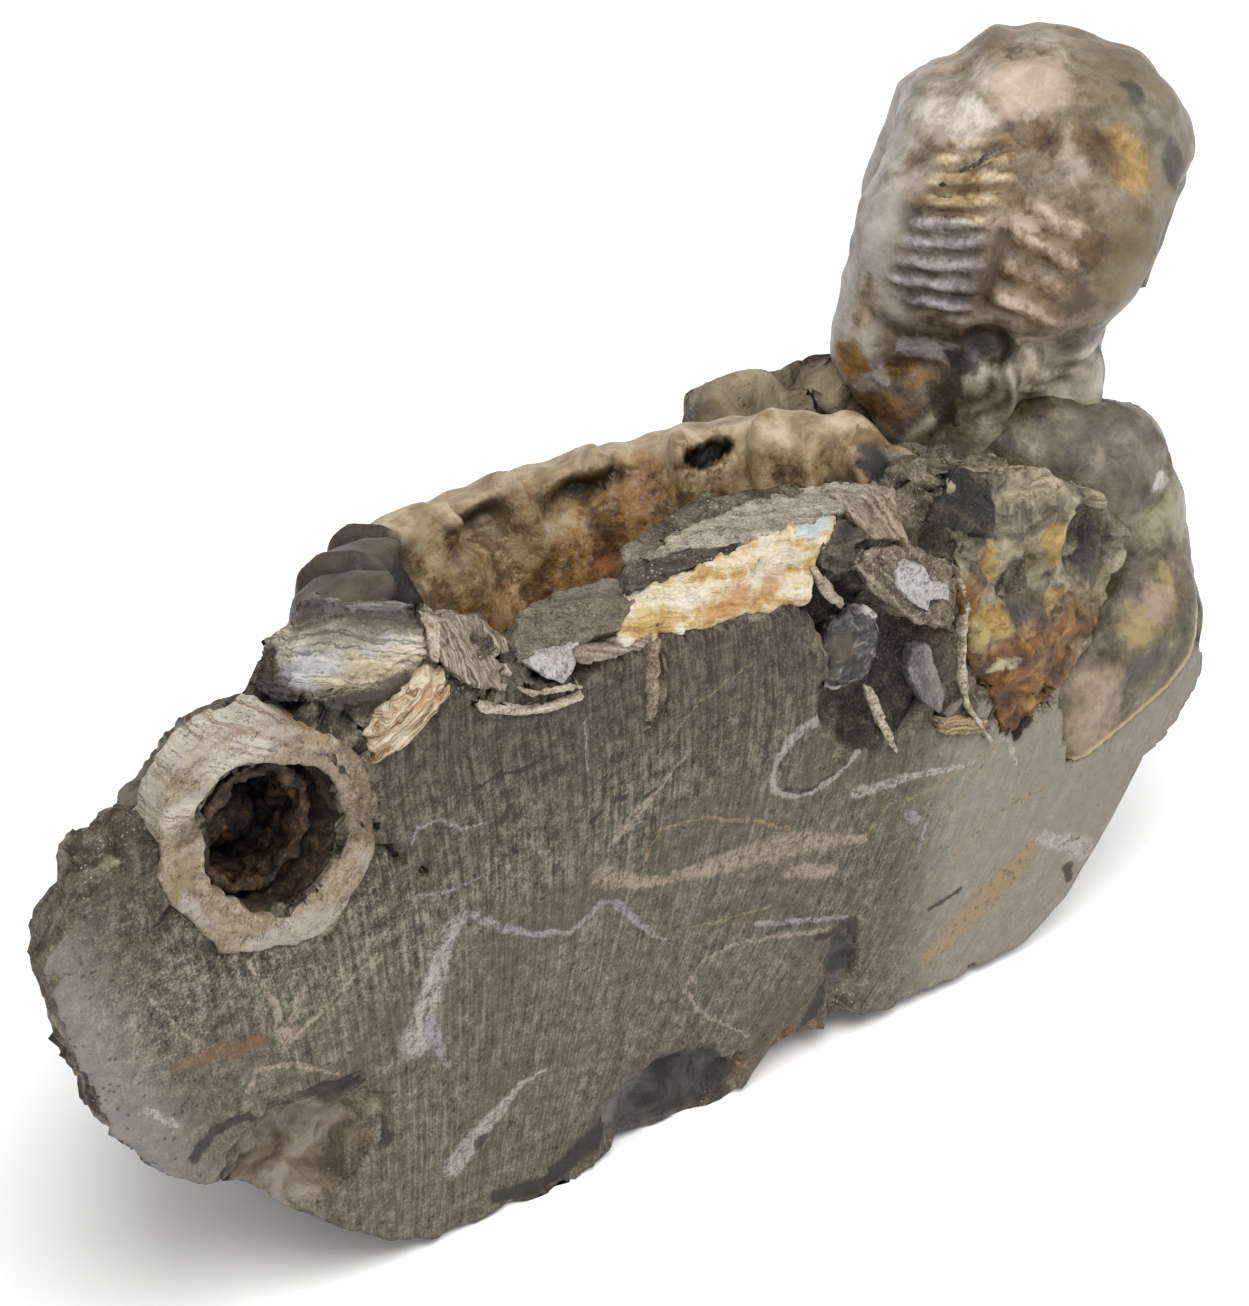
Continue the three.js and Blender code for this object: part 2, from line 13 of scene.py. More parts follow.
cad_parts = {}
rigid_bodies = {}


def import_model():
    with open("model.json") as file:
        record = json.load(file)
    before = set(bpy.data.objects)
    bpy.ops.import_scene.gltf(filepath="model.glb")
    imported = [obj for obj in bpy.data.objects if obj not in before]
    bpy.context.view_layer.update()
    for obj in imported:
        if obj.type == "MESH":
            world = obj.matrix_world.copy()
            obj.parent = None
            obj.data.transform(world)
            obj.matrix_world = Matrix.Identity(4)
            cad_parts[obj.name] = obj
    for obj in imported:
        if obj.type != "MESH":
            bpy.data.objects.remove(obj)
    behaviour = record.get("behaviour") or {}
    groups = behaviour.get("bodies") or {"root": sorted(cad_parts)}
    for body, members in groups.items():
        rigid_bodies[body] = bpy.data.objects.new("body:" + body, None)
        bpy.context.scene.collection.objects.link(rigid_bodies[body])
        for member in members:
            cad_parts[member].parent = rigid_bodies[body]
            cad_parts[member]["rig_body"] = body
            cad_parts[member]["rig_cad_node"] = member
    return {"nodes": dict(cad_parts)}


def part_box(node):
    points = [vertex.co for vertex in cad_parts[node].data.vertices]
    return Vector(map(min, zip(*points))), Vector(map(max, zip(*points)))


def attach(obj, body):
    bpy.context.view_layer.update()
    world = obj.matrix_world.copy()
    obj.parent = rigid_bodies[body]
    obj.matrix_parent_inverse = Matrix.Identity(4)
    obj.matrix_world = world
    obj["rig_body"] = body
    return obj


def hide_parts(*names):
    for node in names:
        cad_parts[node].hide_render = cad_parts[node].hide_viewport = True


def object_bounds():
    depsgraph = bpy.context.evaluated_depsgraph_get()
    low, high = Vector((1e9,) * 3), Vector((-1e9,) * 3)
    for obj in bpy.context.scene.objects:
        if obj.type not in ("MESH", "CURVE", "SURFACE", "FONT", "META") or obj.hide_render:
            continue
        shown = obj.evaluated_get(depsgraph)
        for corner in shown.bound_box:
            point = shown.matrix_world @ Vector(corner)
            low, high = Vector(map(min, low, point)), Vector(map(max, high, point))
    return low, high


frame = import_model()
cad_low, cad_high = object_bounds()
noise.seed_set(7)

MM = 0.001
FACE_LEFT = -45.0
# The specimen is shown from its front left and above: that view's own right, up and front.
RIGHT_X = 0.788
RIGHT_Y = -0.616
RIGHTWARD = Vector((RIGHT_X, RIGHT_Y, 0))
UPWARD = Vector((0.336, 0.429, 0.839))
FORWARD = Vector((-0.516, -0.661, 0.545))
block_low, block_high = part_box("matrix_block")
ZERO = Vector((block_low.x - FACE_LEFT * MM, block_low.y, 0.0))

# The coils' middles, axes and open directions, as the solids have them.
LYING = {"centre": (35.5, 8, 57.5), "axis": (0, 0.3, 1), "ahead": (1, 0, 0)}
STANDING = {"centre": (102, 30, 74.5), "axis": (-0.606, 0.763, 0.208), "ahead": (-0.78, -0.62, 0)}
MOUTH = Vector((-19, 0, 60))
BEVEL_EDGE = Vector((-36, 0, 40))
BEVEL_NORMAL = Vector((-0.225, -0.97, -0.088)).normalized()


# ---------------------------------------------------------------- working with pieces

def at(x, y, z):
    """A point in block millimetres, as metres in the row's frame."""
    return ZERO + Vector((x, y, z)) * MM


def clear():
    bpy.ops.object.select_all(action="DESELECT")


def choose(piece):
    clear()
    piece.select_set(True)
    bpy.context.view_layer.objects.active = piece


def finish_with(piece, kind, **settings):
    """Adds a modifier and applies it."""
    choose(piece)
    modifier = piece.modifiers.new(kind.lower(), kind)
    for name, value in settings.items():
        setattr(modifier, name, value)
    bpy.ops.object.modifier_apply(modifier=modifier.name)


def casting(name, *nodes):
    """One piece cast from CAD nodes, with its loose triangles merged."""
    copies = []
    for node in nodes:
        source = frame["nodes"][node]
        copy = source.copy()
        copy.data = source.data.copy()
        copy.parent = None
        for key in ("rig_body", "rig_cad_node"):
            if key in copy:
                del copy[key]
        bpy.context.scene.collection.objects.link(copy)
        copy.hide_viewport = False
        copy.hide_render = False
        copy.hide_set(False)
        copies.append(copy)
    clear()
    for copy in copies:
        copy.select_set(True)
    bpy.context.view_layer.objects.active = copies[0]
    if len(copies) > 1:
        bpy.ops.object.join()
    piece = bpy.context.view_layer.objects.active
    piece.name = name
    piece.data.name = name
    piece.data.materials.clear()
    bpy.ops.object.mode_set(mode="EDIT")
    bpy.ops.mesh.select_all(action="SELECT")
    bpy.ops.mesh.remove_doubles(threshold=1e-6)
    bpy.ops.object.mode_set(mode="OBJECT")
    return piece


def grow(piece, amount, size):
    """Moves a piece's skin out, or in by a negative amount, and evens its faces again."""
    finish_with(piece, "DISPLACE", strength=amount * MM, mid_level=0.0)
    finish_with(piece, "REMESH", mode="VOXEL", voxel_size=size * MM)


def skin(piece, size, swell=0.0, soften=0):
    """Gives a piece an even skin of small faces, softened, and swollen a little."""
    finish_with(piece, "REMESH", mode="VOXEL", voxel_size=size * MM)
    if soften:
        finish_with(piece, "SMOOTH", factor=0.5, iterations=soften)
    if swell:
        grow(piece, swell, size)


def sculpt(piece, stroke):
    """Moves each point of a piece by what the stroke gives for its place and its normal."""
    mesh = piece.data
    moved = []
    for vertex in mesh.vertices:
        spot = (vertex.co - ZERO) / MM
        place = (spot + stroke(spot, vertex.normal)) * MM + ZERO
        moved += [min(max(value, least), most) for value, least, most in zip(place, cad_low, cad_high)]
    mesh.vertices.foreach_set("co", moved)
    mesh.update()


def note(piece, name, read):
    """Writes a value that the finish reads on each point of a piece."""
    layer = piece.data.attributes.new(name, "FLOAT", "POINT")
    values = [read((vertex.co - ZERO) / MM, vertex.normal) for vertex in piece.data.vertices]
    layer.data.foreach_set("value", values)


def slab(name, corners, back, size=0.3, soften=1):
    """An angular fragment: its front corners in block millimetres and how far it goes back."""
    clear()
    bpy.ops.mesh.primitive_circle_add(vertices=len(corners), radius=MM, fill_type="NGON")
    piece = bpy.context.active_object
    piece.name = name
    piece.data.name = name
    for vertex, corner in zip(piece.data.vertices, corners):
        vertex.co = at(*corner)
    bpy.ops.object.mode_set(mode="EDIT")
    bpy.ops.mesh.select_all(action="SELECT")
    bpy.ops.mesh.extrude_region_move(TRANSFORM_OT_translate={"value": tuple(Vector(back) * MM)})
    bpy.ops.mesh.select_all(action="SELECT")
    bpy.ops.mesh.normals_make_consistent(inside=False)
    bpy.ops.object.mode_set(mode="OBJECT")
    skin(piece, size, soften=soften)
    return piece


def ball(name, middle, radii, turn=(0, 0, 0)):
    """A rounded lump to start a form from, in block millimetres."""
    clear()
    bpy.ops.mesh.primitive_ico_sphere_add(subdivisions=4, radius=1, location=at(*middle),
            rotation=[math.radians(angle) for angle in turn])
    piece = bpy.context.active_object
    piece.name = name
    piece.data.name = name
    piece.scale = Vector(radii) * MM
    bpy.ops.object.transform_apply(location=True, rotation=True, scale=True)
    return piece


def together(name, pieces):
    """Joins several forms in one piece."""
    choose(pieces[0])
    for piece in pieces:
        piece.select_set(True)
    bpy.ops.object.join()
    joined = bpy.context.view_layer.objects.active
    joined.name = name
    joined.data.name = name
    return joined


def settle(piece, finish, slot, *nodes):
    """A finished piece takes its finish, its place on the body and the nodes that it stands for."""
    piece.data.materials.clear()
    piece.data.materials.append(finish)
    choose(piece)
    bpy.ops.object.shade_smooth()
    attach(piece, "root")
    if nodes:
        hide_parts(*nodes)
    return piece


def fade(value, zero, one):
    """Runs smoothly from 0 at one value to 1 at another."""
    t = min(1.0, max(0.0, (value - zero) / (one - zero)))
    return t * t * (3 - 2 * t)


def wander(spot, size, seed=0.0):
    """Smooth unevenness between about -1 and 1."""
    return noise.noise(spot / size + Vector((seed, -seed, seed * 0.5)))


def facets(spot, size, seed=0.0):
    """Unevenness made of flat facets, as a broken stone has."""
    place = spot / size + Vector((seed, seed * 1.7, -seed))
    middle = noise.voronoi(place)[1][0]
    lean = noise.noise_vector(middle * 3.1)
    return (place - middle).dot(lean) * 2.0


def rough(spot, facet, facet_size, uneven, uneven_size):
    """Broken unevenness: facets of one depth and size, and finer wandering over them."""
    return facet * facets(spot, facet_size) + uneven * wander(spot, uneven_size)


def bell(value, middle, width):
    """1 at the middle, falling away smoothly on both sides."""
    return math.exp(-((value - middle) / width) ** 2)


def bump_at(spot, centre, radius):
    """1 in the middle of a round spot, falling to 0 at its edge."""
    away = (spot - Vector(centre)).length / radius
    return 0.0 if away >= 1 else (1 - away * away) ** 2


def right_of(spot):
    """How far right a point lies as the specimen is shown."""
    return RIGHT_X * spot.x + RIGHT_Y * spot.y


class Round:
    """Places on a coil: degrees turned, distance from its axis, height along its axis."""

    def __init__(self, coil):
        self.centre = Vector(coil["centre"])
        self.up = Vector(coil["axis"]).normalized()
        self.left = self.up.cross(Vector(coil["ahead"])).normalized()
        self.front = self.left.cross(self.up)

    def read(self, spot):
        arm = spot - self.centre
        height = arm.dot(self.up)
        x = arm.dot(self.front)
        y = arm.dot(self.left)
        return math.degrees(math.atan2(y, x)) % 360, math.hypot(x, y), height

    def outward(self, turned):
        angle = math.radians(turned)
        return self.front * math.cos(angle) + self.left * math.sin(angle)


# ---------------------------------------------------------------- shader bench

LAMPLIGHT = 1.32


def paint(red, green, blue):
    """A colour as it looks under the studio's lamps, as the shader wants it."""
    shade = [(value / 255 / 12.92 if value <= 10
            else ((value / 255 + 0.055) / 1.055) ** 2.4) / LAMPLIGHT for value in (red, green, blue)]
    return (*shade, 1.0)


class Bench:
    """Lays out and wires the shader nodes of one finish or one shared effect."""

    def __init__(self, tree):
        self.tree = tree

    def node(self, kind, wires=None, **settings):
        made = self.tree.nodes.new("ShaderNode" + kind)
        made.location = (len(self.tree.nodes) % 14 * 190, -(len(self.tree.nodes) // 14) * 260)
        for name, value in settings.items():
            setattr(made, name, value)
        for socket, value in (wires or {}).items():
            self.wire(value, made.inputs[socket])
        return made

    def wire(self, value, socket):
        """Links a socket or sets a plain value, painting three numbers that go in as a colour."""
        if isinstance(value, bpy.types.NodeSocket):
            self.tree.links.new(value, socket)
        elif socket.type == "RGBA" and len(value) == 3:
            socket.default_value = paint(*value)
        else:
            socket.default_value = value

    def calc(self, operation, first, second=0.0, third=0.0):
        return self.node("Math", {0: first, 1: second, 2: third}, operation=operation).outputs[0]

    def plus(self, first, second):
        return self.calc("ADD", first, second)

    def less(self, first, second):
        return self.calc("SUBTRACT", first, second)

    def times(self, first, *others):
        for other in others:
            first = self.calc("MULTIPLY", first, other)
        return first

    def line(self, value, slope, start):
        return self.calc("MULTIPLY_ADD", value, slope, start)

    def gap(self, first, second):
        return self.calc("ABSOLUTE", self.less(first, second))

    def blend(self, first, share, second, rest):
        return self.plus(self.times(first, share), self.times(second, rest))

    def vector(self, operation, first, second=(0, 0, 0), third=(0, 0, 0)):
        wires = {0: first, 1: second}
        if operation == "MULTIPLY_ADD":
            wires[2] = third
        return self.node("VectorMath", wires, operation=operation).outputs[0]

    def measure(self, operation, first, second=(0, 0, 0)):
        return self.node("VectorMath", {0: first, 1: second}, operation=operation).outputs[1]

    def fade(self, value, zero, one):
        wires = {"Value": value, "From Min": zero, "From Max": one}
        return self.node("MapRange", wires, interpolation_type="SMOOTHSTEP").outputs[0]

    def cloud(self, where, size, detail=4.0, rough=0.55, twist=0.0):
        wires = {"Vector": where, "Scale": 1 / size, "Detail": detail, "Roughness": rough,
                "Distortion": twist}
        return self.node("TexNoise", wires).outputs[0]

    def cells(self, where, size):
        return self.node("TexVoronoi", {"Vector": where, "Scale": 1 / size}).outputs[0]

    def stain(self, under, over, amount):
        return self.node("Mix", {0: amount, 6: under, 7: over}, data_type="RGBA").outputs[2]

    def shades(self, value, places, *colours):
        """Colours that follow a value, each reached at its own place."""
        ramp = self.node("ValToRGB", {0: value})
        while len(ramp.color_ramp.elements) < len(places):
            ramp.color_ramp.elements.new(0.5)
        for element, place, colour in zip(ramp.color_ramp.elements, places, colours):
            element.position = place
            element.color = paint(*colour)
        return ramp.outputs[0]

    def use(self, group, **wires):
        made = self.node("Group", node_tree=group)
        for name, value in wires.items():
            self.wire(value, made.inputs[name.replace("_", " ").title()])
        return made.outputs


def effect(name, inputs, outputs):
    """An empty shared effect with its named inputs and outputs."""
    kinds = {"value": "NodeSocketFloat", "vector": "NodeSocketVector"}
    tree = bpy.data.node_groups.new(name, "ShaderNodeTree")
    for label, kind in inputs.items():
        tree.interface.new_socket(name=label, in_out="INPUT", socket_type=kinds[kind])
    for label, kind in outputs.items():
        tree.interface.new_socket(name=label, in_out="OUTPUT", socket_type=kinds[kind])
    entry = tree.nodes.new("NodeGroupInput").outputs
    leave = tree.nodes.new("NodeGroupOutput").inputs
    return tree, Bench(tree), entry, leave


def patch_effect():
    """A soft patch round a middle: 1 inside, 0 outside."""
    tree, b, entry, leave = effect("soft_patch", {"Place": "vector", "Middle": "vector", "Reach": "vector"},
            {"Mask": "value"})
    arm = b.vector("DIVIDE", b.vector("SUBTRACT", entry["Place"], entry["Middle"]), entry["Reach"])
    tree.links.new(b.fade(b.measure("LENGTH", arm), 1.2, 0.6), leave["Mask"])
    return tree


def line_effect():
    """The cut edge of a thin shell between two points, wider at one end than at the other."""
    tree, b, entry, leave = effect("shell_line",
            {"Place": "vector", "Start": "vector", "End": "vector", "Start Width": "value",
            "End Width": "value"}, {"Mask": "value"})
    run = b.vector("SUBTRACT", entry["End"], entry["Start"])
    arm = b.vector("SUBTRACT", entry["Place"], entry["Start"])
    share = b.calc("DIVIDE", b.measure("DOT_PRODUCT", arm, run), b.measure("DOT_PRODUCT", run, run))
    share = b.node("Clamp", {0: share}).outputs[0]
    nearest = b.node("VectorMath", {0: run, "Scale": share}, operation="SCALE").outputs[0]
    away = b.measure("DISTANCE", arm, nearest)
    spread = b.less(entry["End Width"], entry["Start Width"])
    width = b.line(share, spread, entry["Start Width"])
    tree.links.new(b.fade(b.calc("DIVIDE", away, width), 1.3, 0.6), leave["Mask"])
    return tree


def grain_effect():
    """Fine mineral grain: its tone, its dark specks, its pale flecks and its relief."""
    tree, b, entry, leave = effect("mineral_grain", {"Place": "vector", "Size": "value"},
            {"Tone": "value", "Specks": "value", "Flecks": "value", "Relief": "value"})
    near = b.node("VectorMath", {0: entry["Place"], "Scale": b.calc("DIVIDE", 1.0, entry["Size"])},
            operation="SCALE").outputs[0]
    fine = b.cloud(near, 1.0, 5, 0.75)
    coarse = b.cloud(near, 5.0, 3, 0.6)
    tone = b.line(fine, 0.7, b.times(coarse, 0.3))
    specks = b.times(b.fade(b.cells(near, 2.6), 0.34, 0.2), b.fade(b.cloud(near, 7.0, 2), 0.5, 0.6))
    lifted = b.vector("ADD", near, (31.0, 17.0, 5.0))
    flecks = b.times(b.fade(b.cells(lifted, 1.9), 0.26, 0.14), b.fade(b.cloud(lifted, 9.0, 2), 0.48, 0.6))
    tree.links.new(tone, leave["Tone"])
    tree.links.new(specks, leave["Specks"])
    tree.links.new(flecks, leave["Flecks"])
    tree.links.new(b.less(fine, b.times(specks, 0.6)), leave["Relief"])
    return tree


def growth_effect():
    """Wavy growth lines and thin peeling layers of shell, across a direction."""
    tree, b, entry, leave = effect("growth_layers",
            {"Place": "vector", "Across": "vector", "Pitch": "value", "Wave": "value"},
            {"Lines": "value", "Bands": "value"})
    sway = b.times(b.less(b.cloud(entry["Place"], 4.0, 4, 0.6), 0.5), entry["Wave"])
    along = b.plus(b.measure("DOT_PRODUCT", entry["Place"], entry["Across"]), sway)
    beat = b.calc("DIVIDE", along, entry["Pitch"])
    strip = b.node("CombineXYZ", {0: beat, 1: b.times(b.cloud(entry["Place"], 3.0, 2), 1.5), 2: 0.0})
    tree.links.new(b.cloud(strip.outputs[0], 0.7, 3, 0.75), leave["Lines"])
    tree.links.new(b.cloud(strip.outputs[0], 3.2, 3, 0.6), leave["Bands"])
    return tree


SOFT_PATCH = patch_effect()
SHELL_LINE = line_effect()
GRAIN = grain_effect()
GROWTH = growth_effect()


class Finish(Bench):
    """One material, built up from a ground colour in layers."""

    def __init__(self, name, roughness, coat=0.0, gloss=0.4, ragged=2.0):
        self.material = bpy.data.materials.new(name)
        self.material.use_nodes = True
        super().__init__(self.material.node_tree)
        self.tree.nodes.clear()
        self.surface = self.node("BsdfPrincipled")
        output = self.node("OutputMaterial")
        self.tree.links.new(self.surface.outputs[0], output.inputs[0])
        self.surface.inputs["Roughness"].default_value = roughness
        self.surface.inputs["Specular IOR Level"].default_value = gloss
        self.surface.inputs["Coat Weight"].default_value = coat
        self.surface.inputs["Coat Roughness"].default_value = 0.25
        coordinates = self.node("TexCoord").outputs["Object"]
        offset = tuple(-value / MM for value in ZERO)
        self.place = self.vector("MULTIPLY_ADD", coordinates, (1 / MM,) * 3, offset)
        split = self.node("SeparateXYZ", {0: self.place}).outputs
        self.x, self.y, self.z = split[0], split[1], split[2]
        wires = {"Vector": self.place, "Scale": 0.55, "Detail": 6.0, "Roughness": 0.65}
        shake = self.node("TexNoise", wires).outputs["Color"]
        off = self.vector("MULTIPLY_ADD", shake, (ragged * 2,) * 3, (-ragged,) * 3)
        self.shaken = self.vector("ADD", self.place, off)
        self.colour = None

    def lay(self, colour, mask, strength=1.0):
        """Lays a colour over what is there, where the mask says."""
        if strength != 1:
            mask = self.times(mask, strength)
        self.colour = self.stain(self.colour, colour, mask)

    def patches(self, colour, *spots, strength=1.0):
        """Lays one colour in several patches, each a middle and how far it reaches."""
        mask = None
        for middle, reach in spots:
            one = self.use(SOFT_PATCH, place=self.shaken, middle=middle, reach=reach)["Mask"]
            mask = one if mask is None else self.calc("MAXIMUM", mask, one)
        self.lay(colour, mask, strength)

    def mottle(self, size, detail=4.0, rough=0.55, twist=0.0):
        return self.cloud(self.place, size, detail, rough, twist)

    def grain(self, size):
        return self.use(GRAIN, place=self.place, size=size)

    def growth(self, across, pitch, wave):
        return self.use(GROWTH, place=self.place, across=across, pitch=pitch, wave=wave)

    def value_of(self, name):
        return self.node("Attribute", attribute_name=name).outputs["Fac"]

    def done(self, relief, depth):
        """Wires the colour and the relief, whose depth is in millimetres."""
        self.wire(self.colour, self.surface.inputs["Base Color"])
        bump = self.node("Bump", {"Height": relief, "Distance": depth * MM, "Strength": 1.0})
        self.wire(bump.outputs[0], self.surface.inputs["Normal"])
        return self.material


# ---------------------------------------------------------------- finishes

WHITE_SHELL = (190, 184, 176)
LILAC_SHELL = (166, 162, 164)
ROSE_SHELL = (176, 160, 142)
AMBER_SHELL = (168, 144, 104)

# Cut shells that show in the ground face: their points as x and z, half widths there, and colour.
CUT_SHELLS = [
    ([(25.5, 34.6), (33, 33), (40.5, 31.8), (47, 30.6),
     (56.9, 26.8)], [0.5, 0.9, 1.7, 1.7, 0.5], ROSE_SHELL),
    ([(20.8, 37.8), (27.5, 34.2)], [1.3, 0.8], ROSE_SHELL),
    ([(26.8, 37.5), (28.8, 40.6), (34.6, 39.4), (41.5, 35.9), (46.2, 32.6)], [0.22], AMBER_SHELL),
    ([(46.8, 27), (52.6, 24.6)], [1.1, 0.8], ROSE_SHELL),
    ([(55.4, 33.5), (63, 32.3), (72.6, 30.2)], [0.7, 0.55, 0.3], WHITE_SHELL),
    ([(22.2, 41.3), (25.4, 43.6), (32, 48.3)], [0.35, 0.75, 0.15], ROSE_SHELL),
    ([(0.5, 37.4), (4, 40.8), (10.5, 35.3), (16.9, 32.4)], [0.45, 0.5, 0.4, 0.35], LILAC_SHELL),
    ([(16.9, 32.4), (20.8, 34.4), (23.2, 33.4), (26.1, 29.3),
     (29.8, 25.2)], [0.35, 0.5, 0.6, 0.4, 0.1], LILAC_SHELL),
    ([(2.2, 40.5), (0.2, 36), (-1.1, 31.8), (-2.7, 28)], [0.9, 1.4, 1.5, 2.2], WHITE_SHELL),
    ([(-0.9, 29), (1, 22.6)], [1.0, 0.25], LILAC_SHELL),
    ([(-22.1, 46.5), (-19.3, 40.2), (-18.6, 35)], [0.25, 0.4, 0.7], ROSE_SHELL),
    ([(-7.2, 40.9), (-17.6, 35)], [0.2, 0.45], ROSE_SHELL),
    ([(-16.1, 40.5), (-18.3, 35)], [0.5, 0.8], ROSE_SHELL),
    ([(-23, 31.2), (-22, 33.5), (-18.3, 32.5), (-14.9, 30.2), (-11.9, 27.8)], [0.4, 0.35, 0.25, 0.25, 0.1],
     ROSE_SHELL),
    ([(-33.3, 47.6), (-29.3, 40.7)], [0.25, 0.1], ROSE_SHELL),
    ([(-34.7, 34.7), (-31.5, 31)], [0.6, 0.3], WHITE_SHELL),
    ([(54.7, 15.9), (45.3, 19.2), (38.3, 21), (34.1, 20.4), (32.2, 18.3), (33.7, 14.7), (41.2, 7.3)],
     [0.35, 0.3, 0.22, 0.25, 0.28, 0.22, 0.12], ROSE_SHELL),
    ([(42.2, 22.1), (54.7, 17.3)], [0.35, 0.3], LILAC_SHELL),
    ([(33, 25.8), (44, 23.6)], [0.12, 0.15], AMBER_SHELL),
    ([(13.4, 16.2), (10.2, 15.8), (5.6, 12.6), (1.6, 9.6)], [0.2, 0.45, 1.1, 1.6], WHITE_SHELL),
    ([(67.4, 6.2), (73.5, 9.5), (79, 12), (83.2, 15.2)], [1.2, 2.3, 2.1, 0.8], AMBER_SHELL),
    ([(83.7, 15.4), (90.5, 10.8)], [0.9, 1.6], WHITE_SHELL),
    ([(56.5, 26.9), (60.5, 29.8), (67.1, 29.3), (75.2, 30.9)], [0.15, 0.12, 0.15, 0.2], AMBER_SHELL),
    ([(64.2, 14.1), (69.8, 18.4), (75.8, 21.8), (83.3, 22.2)], [0.1, 0.15, 0.2, 0.3], AMBER_SHELL),
    ([(61, 18.5), (68.5, 24.4), (76.2, 31.5)], [0.1, 0.12, 0.2], AMBER_SHELL),
    ([(77.6, 31.4), (79.2, 27.2)], [0.4, 0.2], WHITE_SHELL),
    ([(63.2, 27.4), (64.6, 26)], [0.6, 0.6], LILAC_SHELL),
    ([(66, 24.8), (64.9, 21.2)], [0.3, 0.3], LILAC_SHELL),
    ([(40.6, 56.2), (33.8, 54), (27.6, 49.5)], [0.2, 0.14, 0.1], AMBER_SHELL),
    ([(19.1, 57.8), (19.1, 51.8)], [0.12, 0.1], LILAC_SHELL),
    ([(-2.1, 45.7), (1.9, 44.4), (5.6, 44.6)], [0.25, 0.15, 0.1], LILAC_SHELL),
    ([(-2.7, 52), (-1.8, 53.8), (1.2, 53.7), (3.4, 51.3), (6.5, 50.7)], [0.2], LILAC_SHELL),
    ([(-5.7, 70.5), (-11.7, 66.1)], [0.15, 0.1], AMBER_SHELL),
]
# Dark pits and seams in the ground face, given in the same way.
DARK_SEAMS = [
    ([(5.1, 55.4), (8.3, 55.8), (11, 55.2), (14.4, 55.6)], [0.35, 0.12, 0.4, 0.12]),
    ([(8.6, 50), (9.4, 51.4)], [0.5, 0.6]),
    ([(19.8, 45.2), (21, 45.7)], [0.3, 0.35]),
    ([(22.8, 46.3), (24.4, 46.6)], [0.3, 0.3]),
    ([(26.6, 45.5), (28.2, 45.8)], [0.25, 0.25]),
    ([(50.5, 16.5), (55.8, 15.8), (55.2, 11), (51.2, 8.4), (50, 5.6)], [0.5, 1.0, 0.9, 0.8, 1.4]),
    ([(88, 9.2), (88.6, 7.6)], [0.8, 0.6]),
    ([(67.1, 12.9), (71.7, 13.4)], [0.35, 0.25]),
    ([(4.6, 10.6), (5.6, 11.2)], [0.7, 0.5]),
    ([(6.7, 2.6), (13.3, 1), (20.7, 4.4), (26.1, 7)], [1.0, 1.2, 1.8, 1.0]),
    ([(-29.5, 26.4), (-27.4, 28.4), (-23.6, 28.4), (-20.5, 25.2), (-26, 22)], [0.8, 0.7, 0.4, 0.6, 0.9]),
    ([(-20.5, 25.2), (-16, 27.4), (-12.4, 26.4), (-8, 21.5), (-6.8, 17)], [0.7, 0.9, 1.1, 0.9, 0.8]),
]


def strokes(f, flat, points, widths):
    """The mask of one drawn line, made of its straight runs."""
    joined = None
    for i in range(len(points) - 1):
        (x0, z0), (x1, z1) = points[i], points[i + 1]
        first = widths[min(i, len(widths) - 1)]
        second = widths[min(i + 1, len(widths) - 1)]
        mask = f.use(SHELL_LINE, place=flat, start=(x0, 0, z0), end=(x1, 0, z1), start_width=first,
                end_width=second)["Mask"]
        joined = mask if joined is None else f.calc("MAXIMUM", joined, mask)
    return joined


